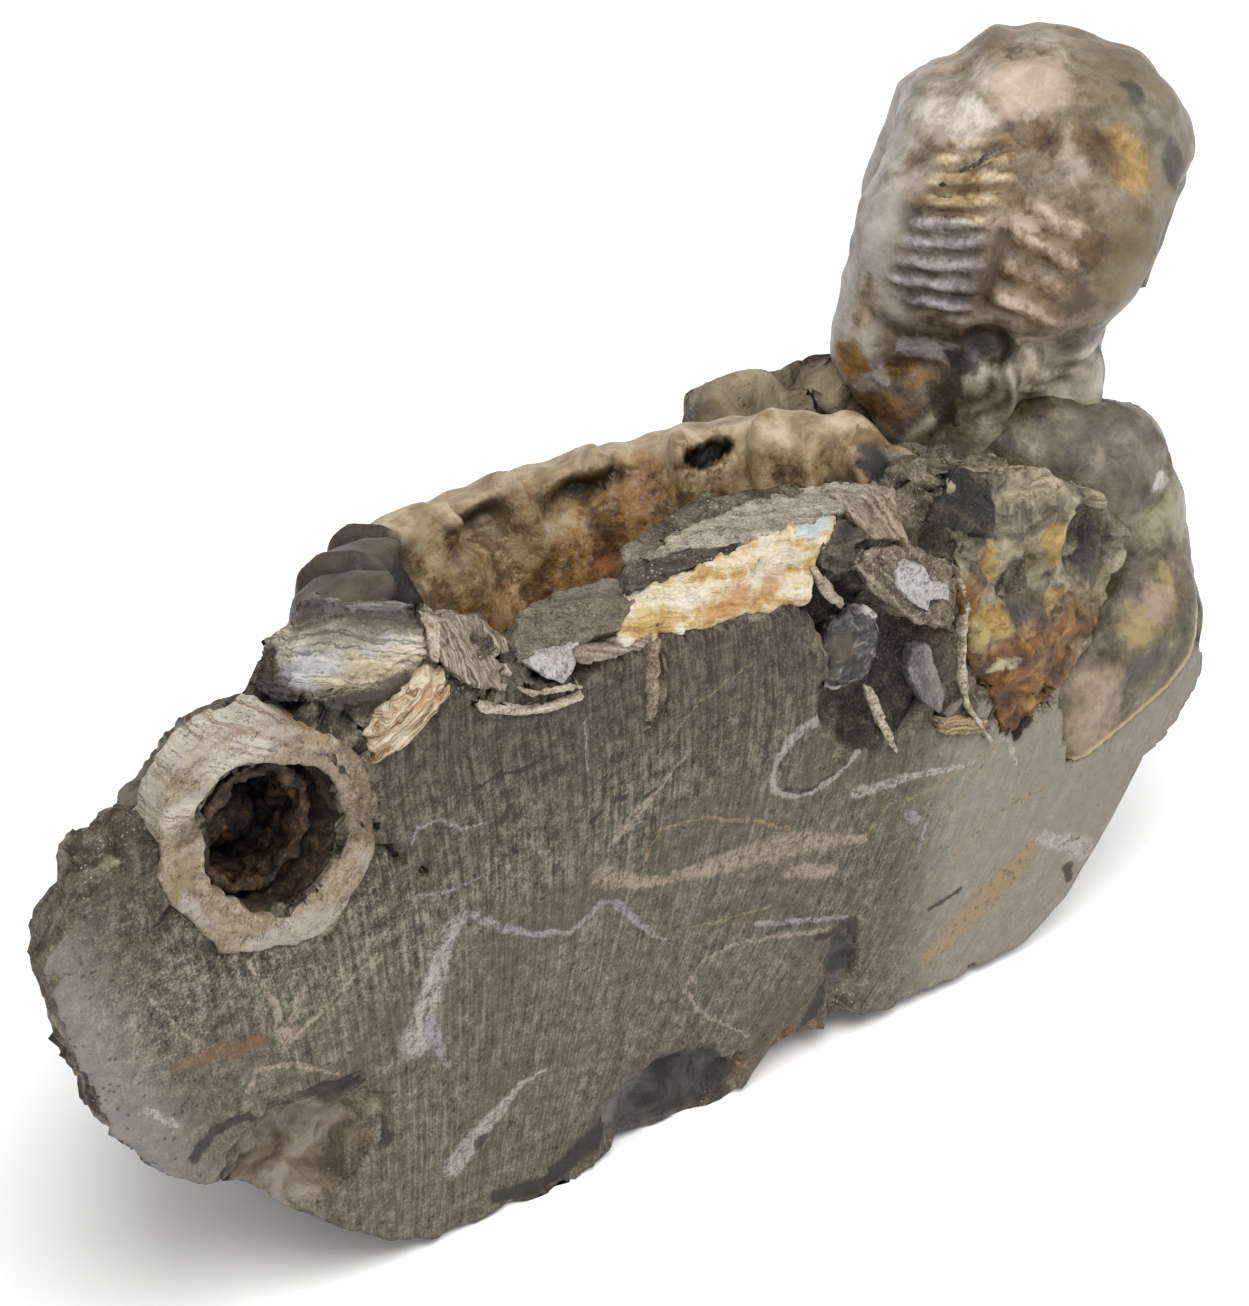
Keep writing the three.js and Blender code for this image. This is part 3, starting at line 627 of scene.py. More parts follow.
def rock_finish():
    f = Finish("ground_and_broken_siltstone", 0.7, gloss=0.3)
    grain = f.grain(0.3)
    broad = f.mottle(14, 3, 0.5)

    # Ground face: saw marks that lean back above and sweep forward below.
    below = f.calc("MAXIMUM", f.less(60.0, f.z), 0.0)
    sweep = f.times(below, below, f.times(f.fade(f.x, -25.0, 45.0), 0.0097))
    stroke = f.plus(f.plus(f.x, f.times(below, -0.17)), sweep)
    run = f.node("CombineXYZ", {0: stroke, 1: f.times(f.z, 0.06), 2: 0.0}).outputs[0]
    marks = f.cloud(run, 0.52, 3, 0.6)
    broad_marks = f.cloud(run, 3.0, 2, 0.5)
    on_left = f.fade(f.line(f.z, 0.3, f.x), -26.0, 2.0)
    saw = f.line(f.less(marks, 0.5), f.line(on_left, 0.75, 0.25), 0.5)
    mottle = f.mottle(1.5, 5, 0.75)
    tone = f.plus(f.blend(grain["Tone"], 0.54, saw, 0.24), f.blend(broad_marks, 0.06, mottle, 0.16))
    sharper = f.line(f.fade(f.line(f.x, -0.1, f.z), 30.0, 52.0), 0.75, 0.85)
    tone = f.line(f.less(tone, 0.5), sharper, 0.5)
    f.colour = f.shades(tone, (0.41, 0.465, 0.515, 0.585), (42, 35, 26), (88, 80, 66), (115, 107, 92),
            (164, 155, 137))
    f.lay((84, 75, 62), f.fade(broad, 0.48, 0.62), 0.4)
    upper = f.fade(f.line(f.x, 0.12, f.z), 40.0, 62.0)
    f.lay((60, 51, 38), upper, 0.58)
    # Paler towards the right end of the face: partly the rock's paler grey, partly painted light for that
    # end, which turns to the lamps.
    pale = f.fade(f.line(f.z, -0.12, f.x), 58.0, 70.0)
    f.lay((180, 172, 158), pale, 0.5)
    # Paler at the lower left: partly the bevel's pale grey, partly painted highlight on that facet.
    low_left = f.fade(f.line(f.z, 0.35, f.x), -15.0, -28.0)
    f.lay((162, 156, 149), low_left, 0.75)
    f.lay((44, 37, 29), f.times(grain["Specks"], f.less(1.0, pale)), 0.6)
    f.lay((128, 92, 58), strokes(f, f.vector("MULTIPLY", f.shaken, (1, 0, 1)),
            [(-31, 38.2), (-25.8, 37.6), (-20.5, 36.8)], [0.7, 1.1, 0.6]), 0.55)

    # Cut shells and dark seams, ragged and worn through.
    wires = {"Vector": f.place, "Scale": 0.45, "Detail": 7.0, "Roughness": 0.75}
    rough_edge = f.vector("MULTIPLY_ADD", f.node("TexNoise", wires).outputs["Color"], (2.4,) * 3,
            (-1.2,) * 3)
    flat = f.vector("MULTIPLY", f.vector("ADD", f.place, rough_edge), (1, 0, 1))
    worn = f.fade(f.mottle(0.5, 5, 0.8), 0.34, 0.54)
    worn = f.times(f.line(worn, 0.85, 0.15), f.line(f.fade(tone, 0.44, 0.53), 0.55, 0.42))
    crust = f.fade(f.cloud(f.vector("ADD", f.place, (7.0, 3.0, 11.0)), 0.9, 5, 0.8), 0.38, 0.49)
    for points, widths, colour in CUT_SHELLS:
        broken_up = f.stain((98, 88, 76), colour, crust)
        f.lay(broken_up, f.times(strokes(f, flat, points, widths), worn))
    for points, widths in DARK_SEAMS:
        f.lay((48, 42, 36), strokes(f, flat, points, widths), 0.85)
    arm = f.vector("SUBTRACT", flat, (50.3, 0, 40.9))
    turned = f.node("VectorRotate", {"Vector": arm, "Angle": math.radians(10)},
            rotation_type="Y_AXIS").outputs[0]
    oval = f.measure("LENGTH", f.vector("DIVIDE", turned, (6.6, 1, 4.4)))
    thick = f.line(f.fade(f.z, 41.0, 45.5), 0.12, 0.07)
    off = f.gap(oval, 1.0)
    f.lay((176, 168, 160), f.times(f.fade(f.calc("DIVIDE", off, thick), 1.2, 0.7), worn))
    inner = f.gap(oval, 0.86)
    f.lay((56, 50, 44), f.times(f.fade(inner, 0.07, 0.02), f.fade(f.mottle(2.2), 0.47, 0.53)))
    ground = f.colour

    # Broken rock, away from the ground face and the bevel.
    lumps = f.mottle(5.0, 5, 0.65, 0.6)
    f.colour = f.shades(f.blend(lumps, 0.5, grain["Tone"], 0.5), (0.41, 0.47, 0.53, 0.6), (42, 35, 26),
            (84, 74, 60), (122, 111, 94), (168, 157, 137))
    f.lay((48, 41, 34), f.fade(f.mottle(3.2, 3, 0.5, 0.4), 0.58, 0.68), 0.7)
    f.lay((206, 196, 176), grain["Flecks"], 0.7)
    pocket = f.shades(grain["Tone"], (0.4, 0.5, 0.6), (26, 20, 14), (52, 44, 35), (96, 86, 72))
    f.patches(pocket, ((62, 2, 46), (10, 6, 9)), ((79, 3, 31), (4, 5, 3)), ((55, 4, 60), (6, 6, 5)),
            strength=0.9)
    hump = f.shades(lumps, (0.38, 0.5, 0.62), (130, 114, 90), (166, 151, 122), (190, 176, 148))
    f.patches(hump, ((75, 37, 59.5), (12, 7, 6)))
    f.patches((168, 150, 108), ((77, 35, 60), (3, 3, 2)), strength=0.6)
    low_break = f.shades(lumps, (0.4, 0.52, 0.64), (84, 72, 58), (122, 108, 90), (152, 142, 130))
    f.patches(low_break, ((-17, 2, 19), (8.5, 6, 6)))
    f.patches((50, 44, 38), ((-27, 2, 25), (4, 5, 3)), ((-12, 2, 26), (5, 5, 1.6)), strength=0.8)
    low_right = f.shades(lumps, (0.4, 0.52, 0.64), (52, 50, 48), (84, 80, 74), (120, 112, 104))
    f.patches(low_right, ((30, 2, 6), (12, 5, 6)), ((53, 2, 12), (4, 5, 5)))
    brown_edge = f.shades(f.growth((0.8, 0.2, 0.6), 0.9, 1.0)["Lines"], (0.4, 0.55, 0.66), (78, 52, 30),
            (150, 110, 72), (196, 180, 160))
    f.patches(brown_edge, ((45, 1, 3.5), (6, 4, 3)))
    broken = f.colour

    on_face = f.fade(f.y, 0.45, 0.2)
    bevel = f.measure("DOT_PRODUCT", f.vector("SUBTRACT", f.place, tuple(BEVEL_EDGE)), tuple(BEVEL_NORMAL))
    on_face = f.calc("MAXIMUM", on_face, f.fade(bevel, -0.5, -0.25))
    f.colour = f.stain(broken, ground, on_face)
    relief = f.plus(f.times(grain["Relief"], 0.8), f.times(saw, on_face, 0.8))
    return f.done(relief, 0.35)


def brown_shell_finish():
    f = Finish("brown_nacreous_shell", 0.45, coat=0.12, gloss=0.3)
    grain = f.grain(0.4)
    cloudy = f.mottle(4.0, 6, 0.66)
    fine = f.mottle(1.3, 5, 0.7)
    cloudy = f.blend(cloudy, 0.62, fine, 0.38)
    f.colour = f.shades(cloudy, (0.37, 0.46, 0.54, 0.64), (76, 56, 30), (122, 97, 62), (156, 131, 93),
            (188, 169, 136))
    level = f.value_of("level")
    along = f.line(level, 1.8, f.value_of("turned"))
    along = f.line(f.less(cloudy, 0.5), 24.0, along)
    amber = f.shades(cloudy, (0.41, 0.5, 0.59), (92, 58, 22), (156, 112, 56), (190, 156, 106))
    f.lay(amber, f.fade(f.gap(along, 74.0), 18.0, 8.0), 0.75)
    f.lay(amber, f.times(f.fade(level, 3.0, 0.5), f.fade(along, 82.0, 92.0)), 0.7)
    dark = f.shades(cloudy, (0.4, 0.5, 0.62), (14, 11, 8), (26, 22, 17), (48, 43, 35))
    f.lay(dark, f.fade(along, 130.0, 142.0))
    frost = f.times(f.fade(f.mottle(1.1, 6, 0.75), 0.5, 0.64), f.fade(along, 140.0, 130.0))
    f.lay((186, 176, 162), frost, 0.3)
    # Painted shade where the inner wall sinks between its rounded chambers.
    painted_chamber_shade = f.fade(f.line(f.less(cloudy, 0.5), 9.0, f.value_of("bulge")), -0.2, -0.9)
    f.lay((62, 46, 28), painted_chamber_shade, 0.5)
    pale_rim = f.shades(f.mottle(3.0, 5, 0.6), (0.38, 0.5, 0.62), (140, 117, 86), (174, 153, 120),
            (200, 185, 158))
    f.lay(pale_rim, f.times(f.value_of("rim"), f.line(f.fade(along, 137.0, 143.0), -0.75, 0.9)))
    # Painted shade in the hollows behind the broken septa and under the shelves.
    f.lay((34, 27, 20), f.value_of("dip"), 0.8)
    f.patches((166, 92, 52), ((44.8, 32, 51.5), (2.0, 3, 1.4)), strength=0.7)
    f.patches((150, 196, 148), ((54, 25.0, 59.6), (1.3, 2, 0.7)), strength=0.5)
    f.patches((150, 172, 140), ((62.6, 20, 62.0), (0.8, 2, 0.6)), strength=0.5)
    stony = f.shades(cloudy, (0.4, 0.5, 0.6), (62, 54, 43), (106, 97, 82), (150, 142, 128))
    f.patches(stony, ((63.5, 18, 61.6), (3.6, 7, 2.6)), ((68.4, 8.6, 63.6), (3.4, 5, 3.0)), strength=0.9)
    brown_line = f.shades(cloudy, (0.42, 0.58), (74, 48, 20), (132, 98, 54))
    f.patches(brown_line, ((61.4, 21.6, 65.2), (2.6, 4, 0.9)), ((67.2, 12.2, 67.4), (2.8, 4, 0.9)),
            strength=0.8)
    # Painted shade: near black in the small hole beside the end of the crown.
    f.patches((22, 18, 12), ((66.8, 12.4, 65.0), (2.1, 3.2, 2.2)), strength=1.0)
    f.lay((196, 176, 146), f.times(f.value_of("lip"), f.fade(f.mottle(0.8, 3), 0.42, 0.55)))
    # Painted shade: the break in the crown turns near black.
    f.lay((10, 8, 6), f.value_of("hollow"))
    relief = f.blend(cloudy, 1.0, grain["Relief"], 0.3)
    return f.done(relief, 0.45)


def ribbed_shell_finish():
    f = Finish("ribbed_mother_of_pearl", 0.42, coat=0.12, gloss=0.32, ragged=1.8)
    cloudy = f.mottle(4.0, 5, 0.6)
    fine = f.mottle(0.9, 4, 0.65)
    soft = f.mottle(8.0, 3, 0.5)
    tone = f.blend(cloudy, 0.7, fine, 0.3)
    f.colour = f.shades(tone, (0.39, 0.46, 0.53, 0.62), (92, 79, 58), (132, 118, 94), (158, 146, 124),
            (194, 185, 170))
    f.lay((112, 104, 74), f.fade(soft, 0.5, 0.6), 0.5)
    elsewhere = f.cloud(f.vector("ADD", f.place, (50.0, 0, 20.0)), 6.0, 4, 0.55)
    f.lay((172, 150, 130), f.fade(elsewhere, 0.5, 0.6), 0.5)
    f.lay((104, 84, 56), f.fade(elsewhere, 0.46, 0.38), 0.5)
    side = f.line(f.y, RIGHT_Y, f.times(f.x, RIGHT_X))
    f.lay((98, 86, 58), f.fade(side, 62.0, 73.0), 0.7)
    f.lay((196, 188, 180), f.times(f.fade(side, 54.0, 47.0), f.times(f.fade(soft, 0.38, 0.52), 0.8)))
    left_pale = f.shades(tone, (0.38, 0.5, 0.62), (122, 112, 98), (158, 149, 138), (184, 176, 170))
    f.lay(left_pale, f.value_of("margin"), 0.85)
    base_brown = f.shades(tone, (0.4, 0.5, 0.6), (72, 59, 42), (112, 96, 74), (144, 130, 110))
    f.lay(base_brown, f.value_of("ribbed"), 0.8)
    lilac_bar = f.shades(tone, (0.42, 0.5, 0.58), (116, 104, 98), (160, 150, 150), (196, 188, 194))
    rose_bar = f.shades(tone, (0.42, 0.5, 0.58), (118, 94, 68), (154, 130, 108), (194, 172, 156))
    gold_bar = f.shades(tone, (0.42, 0.5, 0.58), (138, 106, 56), (190, 164, 118), (222, 206, 172))
    deep = f.shades(tone, (0.42, 0.58), (48, 39, 32), (104, 90, 78))
    brown = f.shades(tone, (0.42, 0.58), (76, 58, 34), (122, 100, 68))
    left = f.value_of("left_side")
    golden = f.value_of("golden")
    crest = f.value_of("crest")
    # The ribs' colours: partly the shell's own banding, partly painted highlight on the crests and painted
    # shade in the gaps between them.
    bar = f.stain(f.stain(rose_bar, lilac_bar, left), gold_bar, f.times(golden, left))
    gap = f.stain(f.stain(brown, deep, left), brown, golden)
    f.lay(f.stain(gap, bar, crest), f.value_of("band"), 0.8)
    f.lay((72, 54, 38), f.value_of("groove"), 0.85)
    gold = f.shades(tone, (0.4, 0.52, 0.64), (110, 82, 36), (152, 118, 60), (184, 154, 96))
    f.patches(gold, ((103.4, 14, 88.5), (3.0, 4, 4.6)), ((80.3, 31, 64.5), (2, 3, 3)))
    hollow = f.shades(tone, (0.4, 0.52, 0.64), (50, 34, 12), (86, 62, 26), (124, 98, 54))
    f.patches(hollow, ((96, 20.4, 91.4), (2.6, 4, 1.6)), ((100.6, 16.6, 90.2), (2.6, 4, 4.2)),
            ((91.8, 18.4, 86.4), (3.4, 3, 1.3)), ((96.4, 11, 81.4), (2.0, 3, 2.6)), strength=0.85)
    light = f.shades(tone, (0.4, 0.52, 0.64), (176, 162, 146), (214, 203, 190), (234, 227, 218))
    f.patches(light, ((92, 29, 91.5), (4.0, 6, 2.6)), ((94.5, 32, 95.5), (4.5, 6, 2.2)), strength=0.85)
    f.patches((206, 184, 164), ((99, 24.5, 95), (5, 5, 2.6)), ((91, 16.8, 84), (3.6, 3, 1.0)), strength=0.6)
    olive = f.shades(tone, (0.4, 0.52, 0.64), (84, 76, 58), (118, 110, 88), (146, 139, 122))
    f.patches(olive, ((109.4, 16.6, 91), (3.2, 5, 4.0)), strength=0.8)
    f.patches((58, 48, 38), ((111, 13.6, 85.8), (2.4, 4, 3.6)), ((108.8, 18.4, 93.4), (1.6, 3, 1.4)),
            strength=0.9)
    neck = f.value_of("neck")
    # The neck's wrinkles: partly their own colours, partly painted shade in the troughs and painted light
    # on the ridges of the folds.
    wrinkled = f.shades(f.blend(tone, 0.75, f.value_of("fold"), 0.25), (0.36, 0.46, 0.56, 0.68),
            (62, 52, 38), (112, 101, 82), (152, 141, 120), (188, 179, 160))
    f.lay(wrinkled, neck)
    f.patches((206, 192, 164), ((91.2, 14.4, 65.6), (1.2, 3, 3.2)), strength=0.5)
    f.patches((92, 79, 58), ((96, 12.6, 65), (2.6, 4, 3.6)), ((86.4, 20.4, 63.4), (1.4, 3, 2.4)),
            strength=0.75)
    # Painted shade on the underside of the coil, above the neck.
    painted_underside_shade = f.shades(tone, (0.4, 0.52, 0.64), (46, 37, 29), (82, 66, 48), (116, 96, 72))
    low = f.times(f.fade(f.z, 73.0, 70.0), f.fade(f.line(f.y, -0.5, f.x), 65.5, 68.5))
    f.lay(painted_underside_shade, f.times(low, f.less(1.0, neck)), 0.85)
    lilac = f.shades(tone, (0.4, 0.58), (150, 138, 132), (206, 196, 194))
    f.patches(lilac, ((84.4, 23.5, 67.5), (3.0, 4, 2.0)), ((81.8, 28, 63.5), (1.2, 3, 1.2)), strength=0.9)
    # Painted shade in the hollow under the coil's chin, where the skin is pressed in.
    f.patches((36, 30, 23), ((88.2, 17.8, 69.4), (3.4, 4.6, 2.2)), ((86, 19.8, 67), (2.6, 3, 1.3)),
            strength=0.85)
    rust = f.shades(tone, (0.4, 0.56), (84, 58, 28), (158, 122, 72))
    f.patches(rust, ((83.4, 24.5, 63.8), (2.8, 4, 1.6)), ((82.2, 27.5, 59.5), (3.2, 4, 2.2)), strength=0.9)
    f.patches((48, 39, 30), ((85.2, 20.5, 62), (0.9, 4, 4.6)), strength=0.85)
    relief = f.plus(cloudy, f.times(fine, 0.3))
    return f.done(relief, 0.5)


def flank_shell_finish():
    f = Finish("mottled_mother_of_pearl", 0.42, coat=0.12, gloss=0.32, ragged=2.2)
    cloudy = f.mottle(4.2, 5, 0.62)
    fine = f.mottle(0.9, 4, 0.65)
    tone = f.blend(cloudy, 0.75, fine, 0.25)
    f.colour = f.shades(tone, (0.37, 0.46, 0.55, 0.66), (56, 46, 32), (84, 73, 54), (110, 98, 76),
            (150, 140, 120))
    green = f.shades(tone, (0.4, 0.56), (104, 98, 72), (150, 144, 116))
    f.patches(green, ((104, 7, 46.5), (8, 6, 3)), strength=0.8)
    upper = f.shades(tone, (0.38, 0.52, 0.66), (72, 65, 54), (100, 92, 80), (130, 121, 107))
    f.patches(upper, ((102, 13, 55), (12, 9, 5.6)), strength=0.85)
    f.patches((158, 136, 112), ((98, 12, 55), (2, 4, 1.6)), ((108, 13, 55), (1.6, 4, 3)), strength=0.6)
    olive = f.shades(tone, (0.4, 0.56), (100, 84, 48), (156, 136, 88))
    f.patches(olive, ((98, 2, 37), (2.6, 4, 2.4)), ((103, 3, 39), (1.6, 4, 3.4)), strength=0.8)
    f.patches((66, 62, 56), ((98, 2, 33.6), (4, 4, 1.8)), ((96, 7, 46), (2.4, 4, 2)), strength=0.8)
    rose = f.shades(tone, (0.4, 0.56), (124, 106, 86), (160, 142, 120))
    f.patches(rose, ((90.5, 0, 30), (4.4, 4, 6.6)), ((101.5, 3, 38.6), (2, 4, 3)), strength=0.8)
    # Painted highlight: a white glint on the flank.
    f.patches((204, 198, 190), ((105.2, 9.5, 50.5), (2.2, 4, 1.4)), strength=0.7)
    f.patches((118, 122, 112), ((85.6, 0, 33), (1.3, 3, 4)), strength=0.7)
    f.lay((190, 168, 118), f.value_of("cut"), 0.85)
    return f.done(f.plus(cloudy, f.times(fine, 0.3)), 0.5)


def cream_shell_finish():
    f = Finish("thick_cream_calcite", 0.62, gloss=0.3, ragged=1.4)
    grain = f.grain(0.3)
    arm = f.vector("MULTIPLY", f.vector("SUBTRACT", f.place, tuple(MOUTH)), (1, 0, 1))
    sway = f.times(f.less(f.mottle(3.0, 5, 0.65), 0.5), 6.0)
    ring = f.node("CombineXYZ", {0: f.plus(f.measure("LENGTH", arm), sway), 1: f.times(f.y, 0.25),
            2: f.times(f.mottle(4.0, 2), 3.0)}).outputs[0]
    layers = f.cloud(ring, 0.8, 4, 0.7)
    tone = f.blend(layers, 0.4, grain["Tone"], 0.6)
    f.colour = f.shades(tone, (0.38, 0.46, 0.54, 0.66), (112, 92, 66), (158, 140, 114), (190, 174, 150),
            (222, 210, 192))
    blotch = f.mottle(3.2, 5, 0.7, 0.5)
    f.lay((142, 124, 78), f.fade(blotch, 0.54, 0.64), 0.6)
    elsewhere = f.vector("ADD", f.place, (40.0, 0, 9))
    f.lay((186, 178, 174), f.fade(f.cloud(elsewhere, 3.0, 5, 0.65), 0.53, 0.63), 0.6)
    outer = f.growth((0.5, 0.1, 0.8), 0.8, 1.4)
    skin_colour = f.shades(outer["Lines"], (0.36, 0.44, 0.56), (160, 138, 106), (216, 204, 182),
            (238, 230, 216))
    f.lay(skin_colour, f.value_of("outside"))
    f.patches(skin_colour, ((-22, 2, 70.5), (5.4, 7, 2.8)), ((-28, 2, 66.5), (3.0, 7, 2.4)), strength=0.8)
    f.patches((196, 156, 106), ((-12.6, 3, 69), (3.6, 3, 2.4)), strength=0.85)
    lumps = f.shades(f.mottle(4.0, 5, 0.65), (0.4, 0.5, 0.62), (74, 66, 53), (108, 98, 82), (140, 130, 112))
    f.lay(lumps, f.times(f.value_of("outside"), f.value_of("rocky")))
    f.patches((150, 134, 84), ((-29, 0.5, 59.6), (2.0, 3, 2.4)), strength=0.6)
    shaded = f.shades(tone, (0.4, 0.52, 0.64), (84, 68, 48), (132, 114, 88), (176, 160, 136))
    f.patches(shaded, ((-6.5, 1, 60), (3.2, 4, 7)), ((-8, 1, 66.5), (3, 4, 2.4)),
            ((-28, 0.5, 64.5), (2.2, 3, 1.6)), strength=0.8)
    f.patches((206, 198, 186), ((-17, 0.5, 47.6), (7, 3, 2.2)), ((-28.6, 0.5, 55), (1.6, 3, 2.6)),
            strength=0.6)
    crevice = f.gap(f.mottle(2.6, 5, 0.75, 1.2), 0.5)
    f.lay((74, 56, 36), f.times(f.fade(crevice, 0.016, 0.006), f.fade(blotch, 0.46, 0.54)))
    dark = f.shades(f.mottle(1.6, 6, 0.75), (0.4, 0.52, 0.66), (26, 18, 11), (66, 48, 30), (122, 98, 70))
    f.lay(dark, f.value_of("inside"))
    relief = f.blend(layers, 0.5, grain["Relief"], 0.9)
    return f.done(relief, 0.45)


def crystal_finish():
    f = Finish("brown_drusy_crystals", 0.4, gloss=0.3)
    f.colour = f.shades(f.mottle(1.4, 6, 0.75), (0.4, 0.5, 0.64), (26, 17, 10), (62, 43, 26), (112, 86, 58))
    # Painted shade: near black deep in the cavity, towards its left.
    deep = f.fade(f.y, 4.0, 13.0)
    f.lay((10, 7, 4), f.times(deep, f.fade(f.x, -22.0, -15.0)))
    return f.done(f.mottle(0.8, 5, 0.7), 0.5)


def amber_finish():
    f = Finish("amber_and_grey_calcite", 0.4, coat=0.08, gloss=0.35, ragged=1.6)
    cloudy = f.mottle(3.6, 6, 0.7, 0.5)
    f.colour = f.shades(cloudy, (0.39, 0.47, 0.54, 0.64), (58, 50, 38), (102, 93, 73), (134, 124, 100),
            (172, 162, 136))
    layered = f.growth((0.3, -0.2, 1.0), 0.8, 1.6)["Lines"]
    f.patches(f.shades(layered, (0.38, 0.5, 0.62), (104, 88, 64), (166, 150, 120), (206, 196, 172)),
            ((84, 5, 61.4), (9, 5, 2.0)), ((94, 5, 55), (5, 5, 2.4)), ((98.6, 6, 47), (1.8, 5, 4.6)))
    amber = f.shades(cloudy, (0.39, 0.47, 0.54, 0.63), (66, 38, 10), (104, 66, 22), (130, 88, 34),
            (160, 126, 70))
    f.patches(amber, ((79.5, 0, 38), (9.5, 9, 8)), ((72, 2, 47.5), (2.4, 6, 7)),
            ((89, 1, 42.5), (5, 5, 3.6)))
    ochre = f.shades(cloudy, (0.4, 0.58), (140, 108, 52), (186, 156, 92))
    f.patches(ochre, ((75, 1.5, 53.5), (1.2, 4, 4)), ((84.5, 2, 53), (2.0, 4, 3.0)),
            ((83.4, 1.4, 46.6), (3.0, 4, 1.2)), ((75.5, 1, 47), (3.4, 4, 2.2)))
    olive = f.shades(cloudy, (0.4, 0.5, 0.6), (84, 74, 48), (118, 106, 76), (148, 138, 110))
    f.patches(olive, ((91.6, 2, 44.6), (3, 4, 3.4)), ((79.5, 3, 52.5), (3.4, 5, 5.5)))
    f.patches((50, 41, 36), ((89.5, 3, 51.6), (4.2, 5, 4.4)))
    f.patches((176, 166, 108), ((73.4, 0.6, 46.4), (1.4, 3, 2.6)), strength=0.7)
    f.patches((202, 190, 156), ((76.6, 0.5, 41.2), (2.0, 3, 0.9)), strength=0.85)
    f.patches((72, 70, 64), ((80.6, 1.5, 46.6), (3.0, 4, 1.6)), strength=0.85)
    glint = f.fade(f.mottle(0.6, 5, 0.8), 0.56, 0.68)
    f.lay((206, 194, 162), glint, 0.16)
    relief = f.blend(cloudy, 1.2, f.cells(f.place, 1.1), 0.35)
    return f.done(relief, 0.9)


def golden_finish():
    f = Finish("golden_nacre", 0.3, coat=0.35, gloss=0.4, ragged=1.4)
    layers = f.growth((0.25, 0.3, 0.9), 0.7, 2.0)
    patchy = f.mottle(3.2, 6, 0.7, 0.4)
    tone = f.blend(patchy, 0.55, layers["Bands"], 0.45)
    f.colour = f.shades(tone, (0.38, 0.455, 0.515, 0.62), (154, 106, 44), (194, 160, 98), (216, 202, 170),
            (228, 220, 208))
    f.patches((178, 118, 44), ((38, 2.2, 63.6), (4.6, 3, 1.4)), ((43.4, 3, 63.4), (3.4, 3, 0.9)),
            strength=0.75)
    f.patches((196, 160, 70), ((27.6, 1.4, 66), (1.6, 3, 1.6)), ((51.6, 3, 63.4), (2.0, 3, 1.2)),
            strength=0.7)
    f.patches((168, 192, 198), ((52.6, 4.8, 66.2), (3.2, 3, 1.2)), strength=0.8)
    f.patches((204, 190, 188), ((46, 3.2, 64.6), (3.6, 3, 1.2)), strength=0.4)
    f.lay((96, 74, 48), f.fade(layers["Lines"], 0.58, 0.68), 0.55)
    return f.done(f.plus(layers["Lines"], patchy), 0.6)


def lens_finish():
    f = Finish("grey_layered_nacre", 0.36, coat=0.12, gloss=0.32, ragged=1.8)
    layers = f.growth((0.5, 0.5, 0.8), 1.0, 2.6)
    grain = f.grain(0.3)
    tone = f.blend(layers["Bands"], 0.65, grain["Tone"], 0.35)
    f.colour = f.shades(tone, (0.42, 0.47, 0.525, 0.59), (58, 51, 41), (100, 91, 76), (146, 135, 114),
            (204, 195, 174))
    f.patches((184, 168, 132), ((-6.6, 3, 73.6), (5.6, 4, 0.8)), ((-10, 3, 72), (3, 4, 0.8)),
            ((-3, 3, 72.4), (4, 4, 0.6)), strength=0.5)
    f.patches((182, 183, 186), ((-9, 5, 73.6), (2.4, 4, 0.9)), ((-11.5, 5, 72.6), (1.2, 4, 1.2)),
            ((-3, 3, 74.2), (2.4, 4, 0.5)), strength=0.6)
    f.lay((84, 76, 64), f.fade(layers["Lines"], 0.56, 0.66), 0.5)
    top = f.shades(tone, (0.43, 0.5, 0.57), (60, 54, 45), (92, 85, 73), (124, 116, 102))
    f.patches(top, ((-3, 7, 76.4), (10, 6, 2.8)), strength=0.9)
    f.lay((52, 45, 35), f.fade(layers["Lines"], 0.47, 0.42), 0.6)
    f.lay((58, 50, 40), f.fade(f.line(f.x, 0.16, f.z), 71.2, 69.6))
    return f.done(layers["Lines"], 0.4)


def white_shell_finish():
    f = Finish("chalky_white_shell", 0.5, gloss=0.35)
    layers = f.growth((-0.45, 0.0, 0.9), 0.55, 2.2)
    f.colour = f.shades(layers["Lines"], (0.37, 0.44, 0.54, 0.66), (104, 74, 46), (168, 140, 104),
            (204, 190, 164), (226, 214, 192))
    f.patches((178, 130, 82), ((-0.6, 0.6, 68.6), (2.6, 3, 0.9)), strength=0.6)
    return f.done(layers["Lines"], 0.6)


def chip_finish():
    f = Finish("pale_grey_chip", 0.5, gloss=0.35)
    grain = f.grain(0.3)
    f.colour = f.shades(grain["Tone"], (0.38, 0.5, 0.62), (168, 162, 154), (196, 192, 187), (214, 211, 206))
    f.lay((66, 60, 54), grain["Specks"], 0.5)
    crack = f.gap(f.mottle(2.4, 4, 0.7, 1.0), 0.5)
    f.lay((128, 112, 92), f.fade(crack, 0.03, 0.01), 0.7)
    return f.done(grain["Relief"], 0.3)


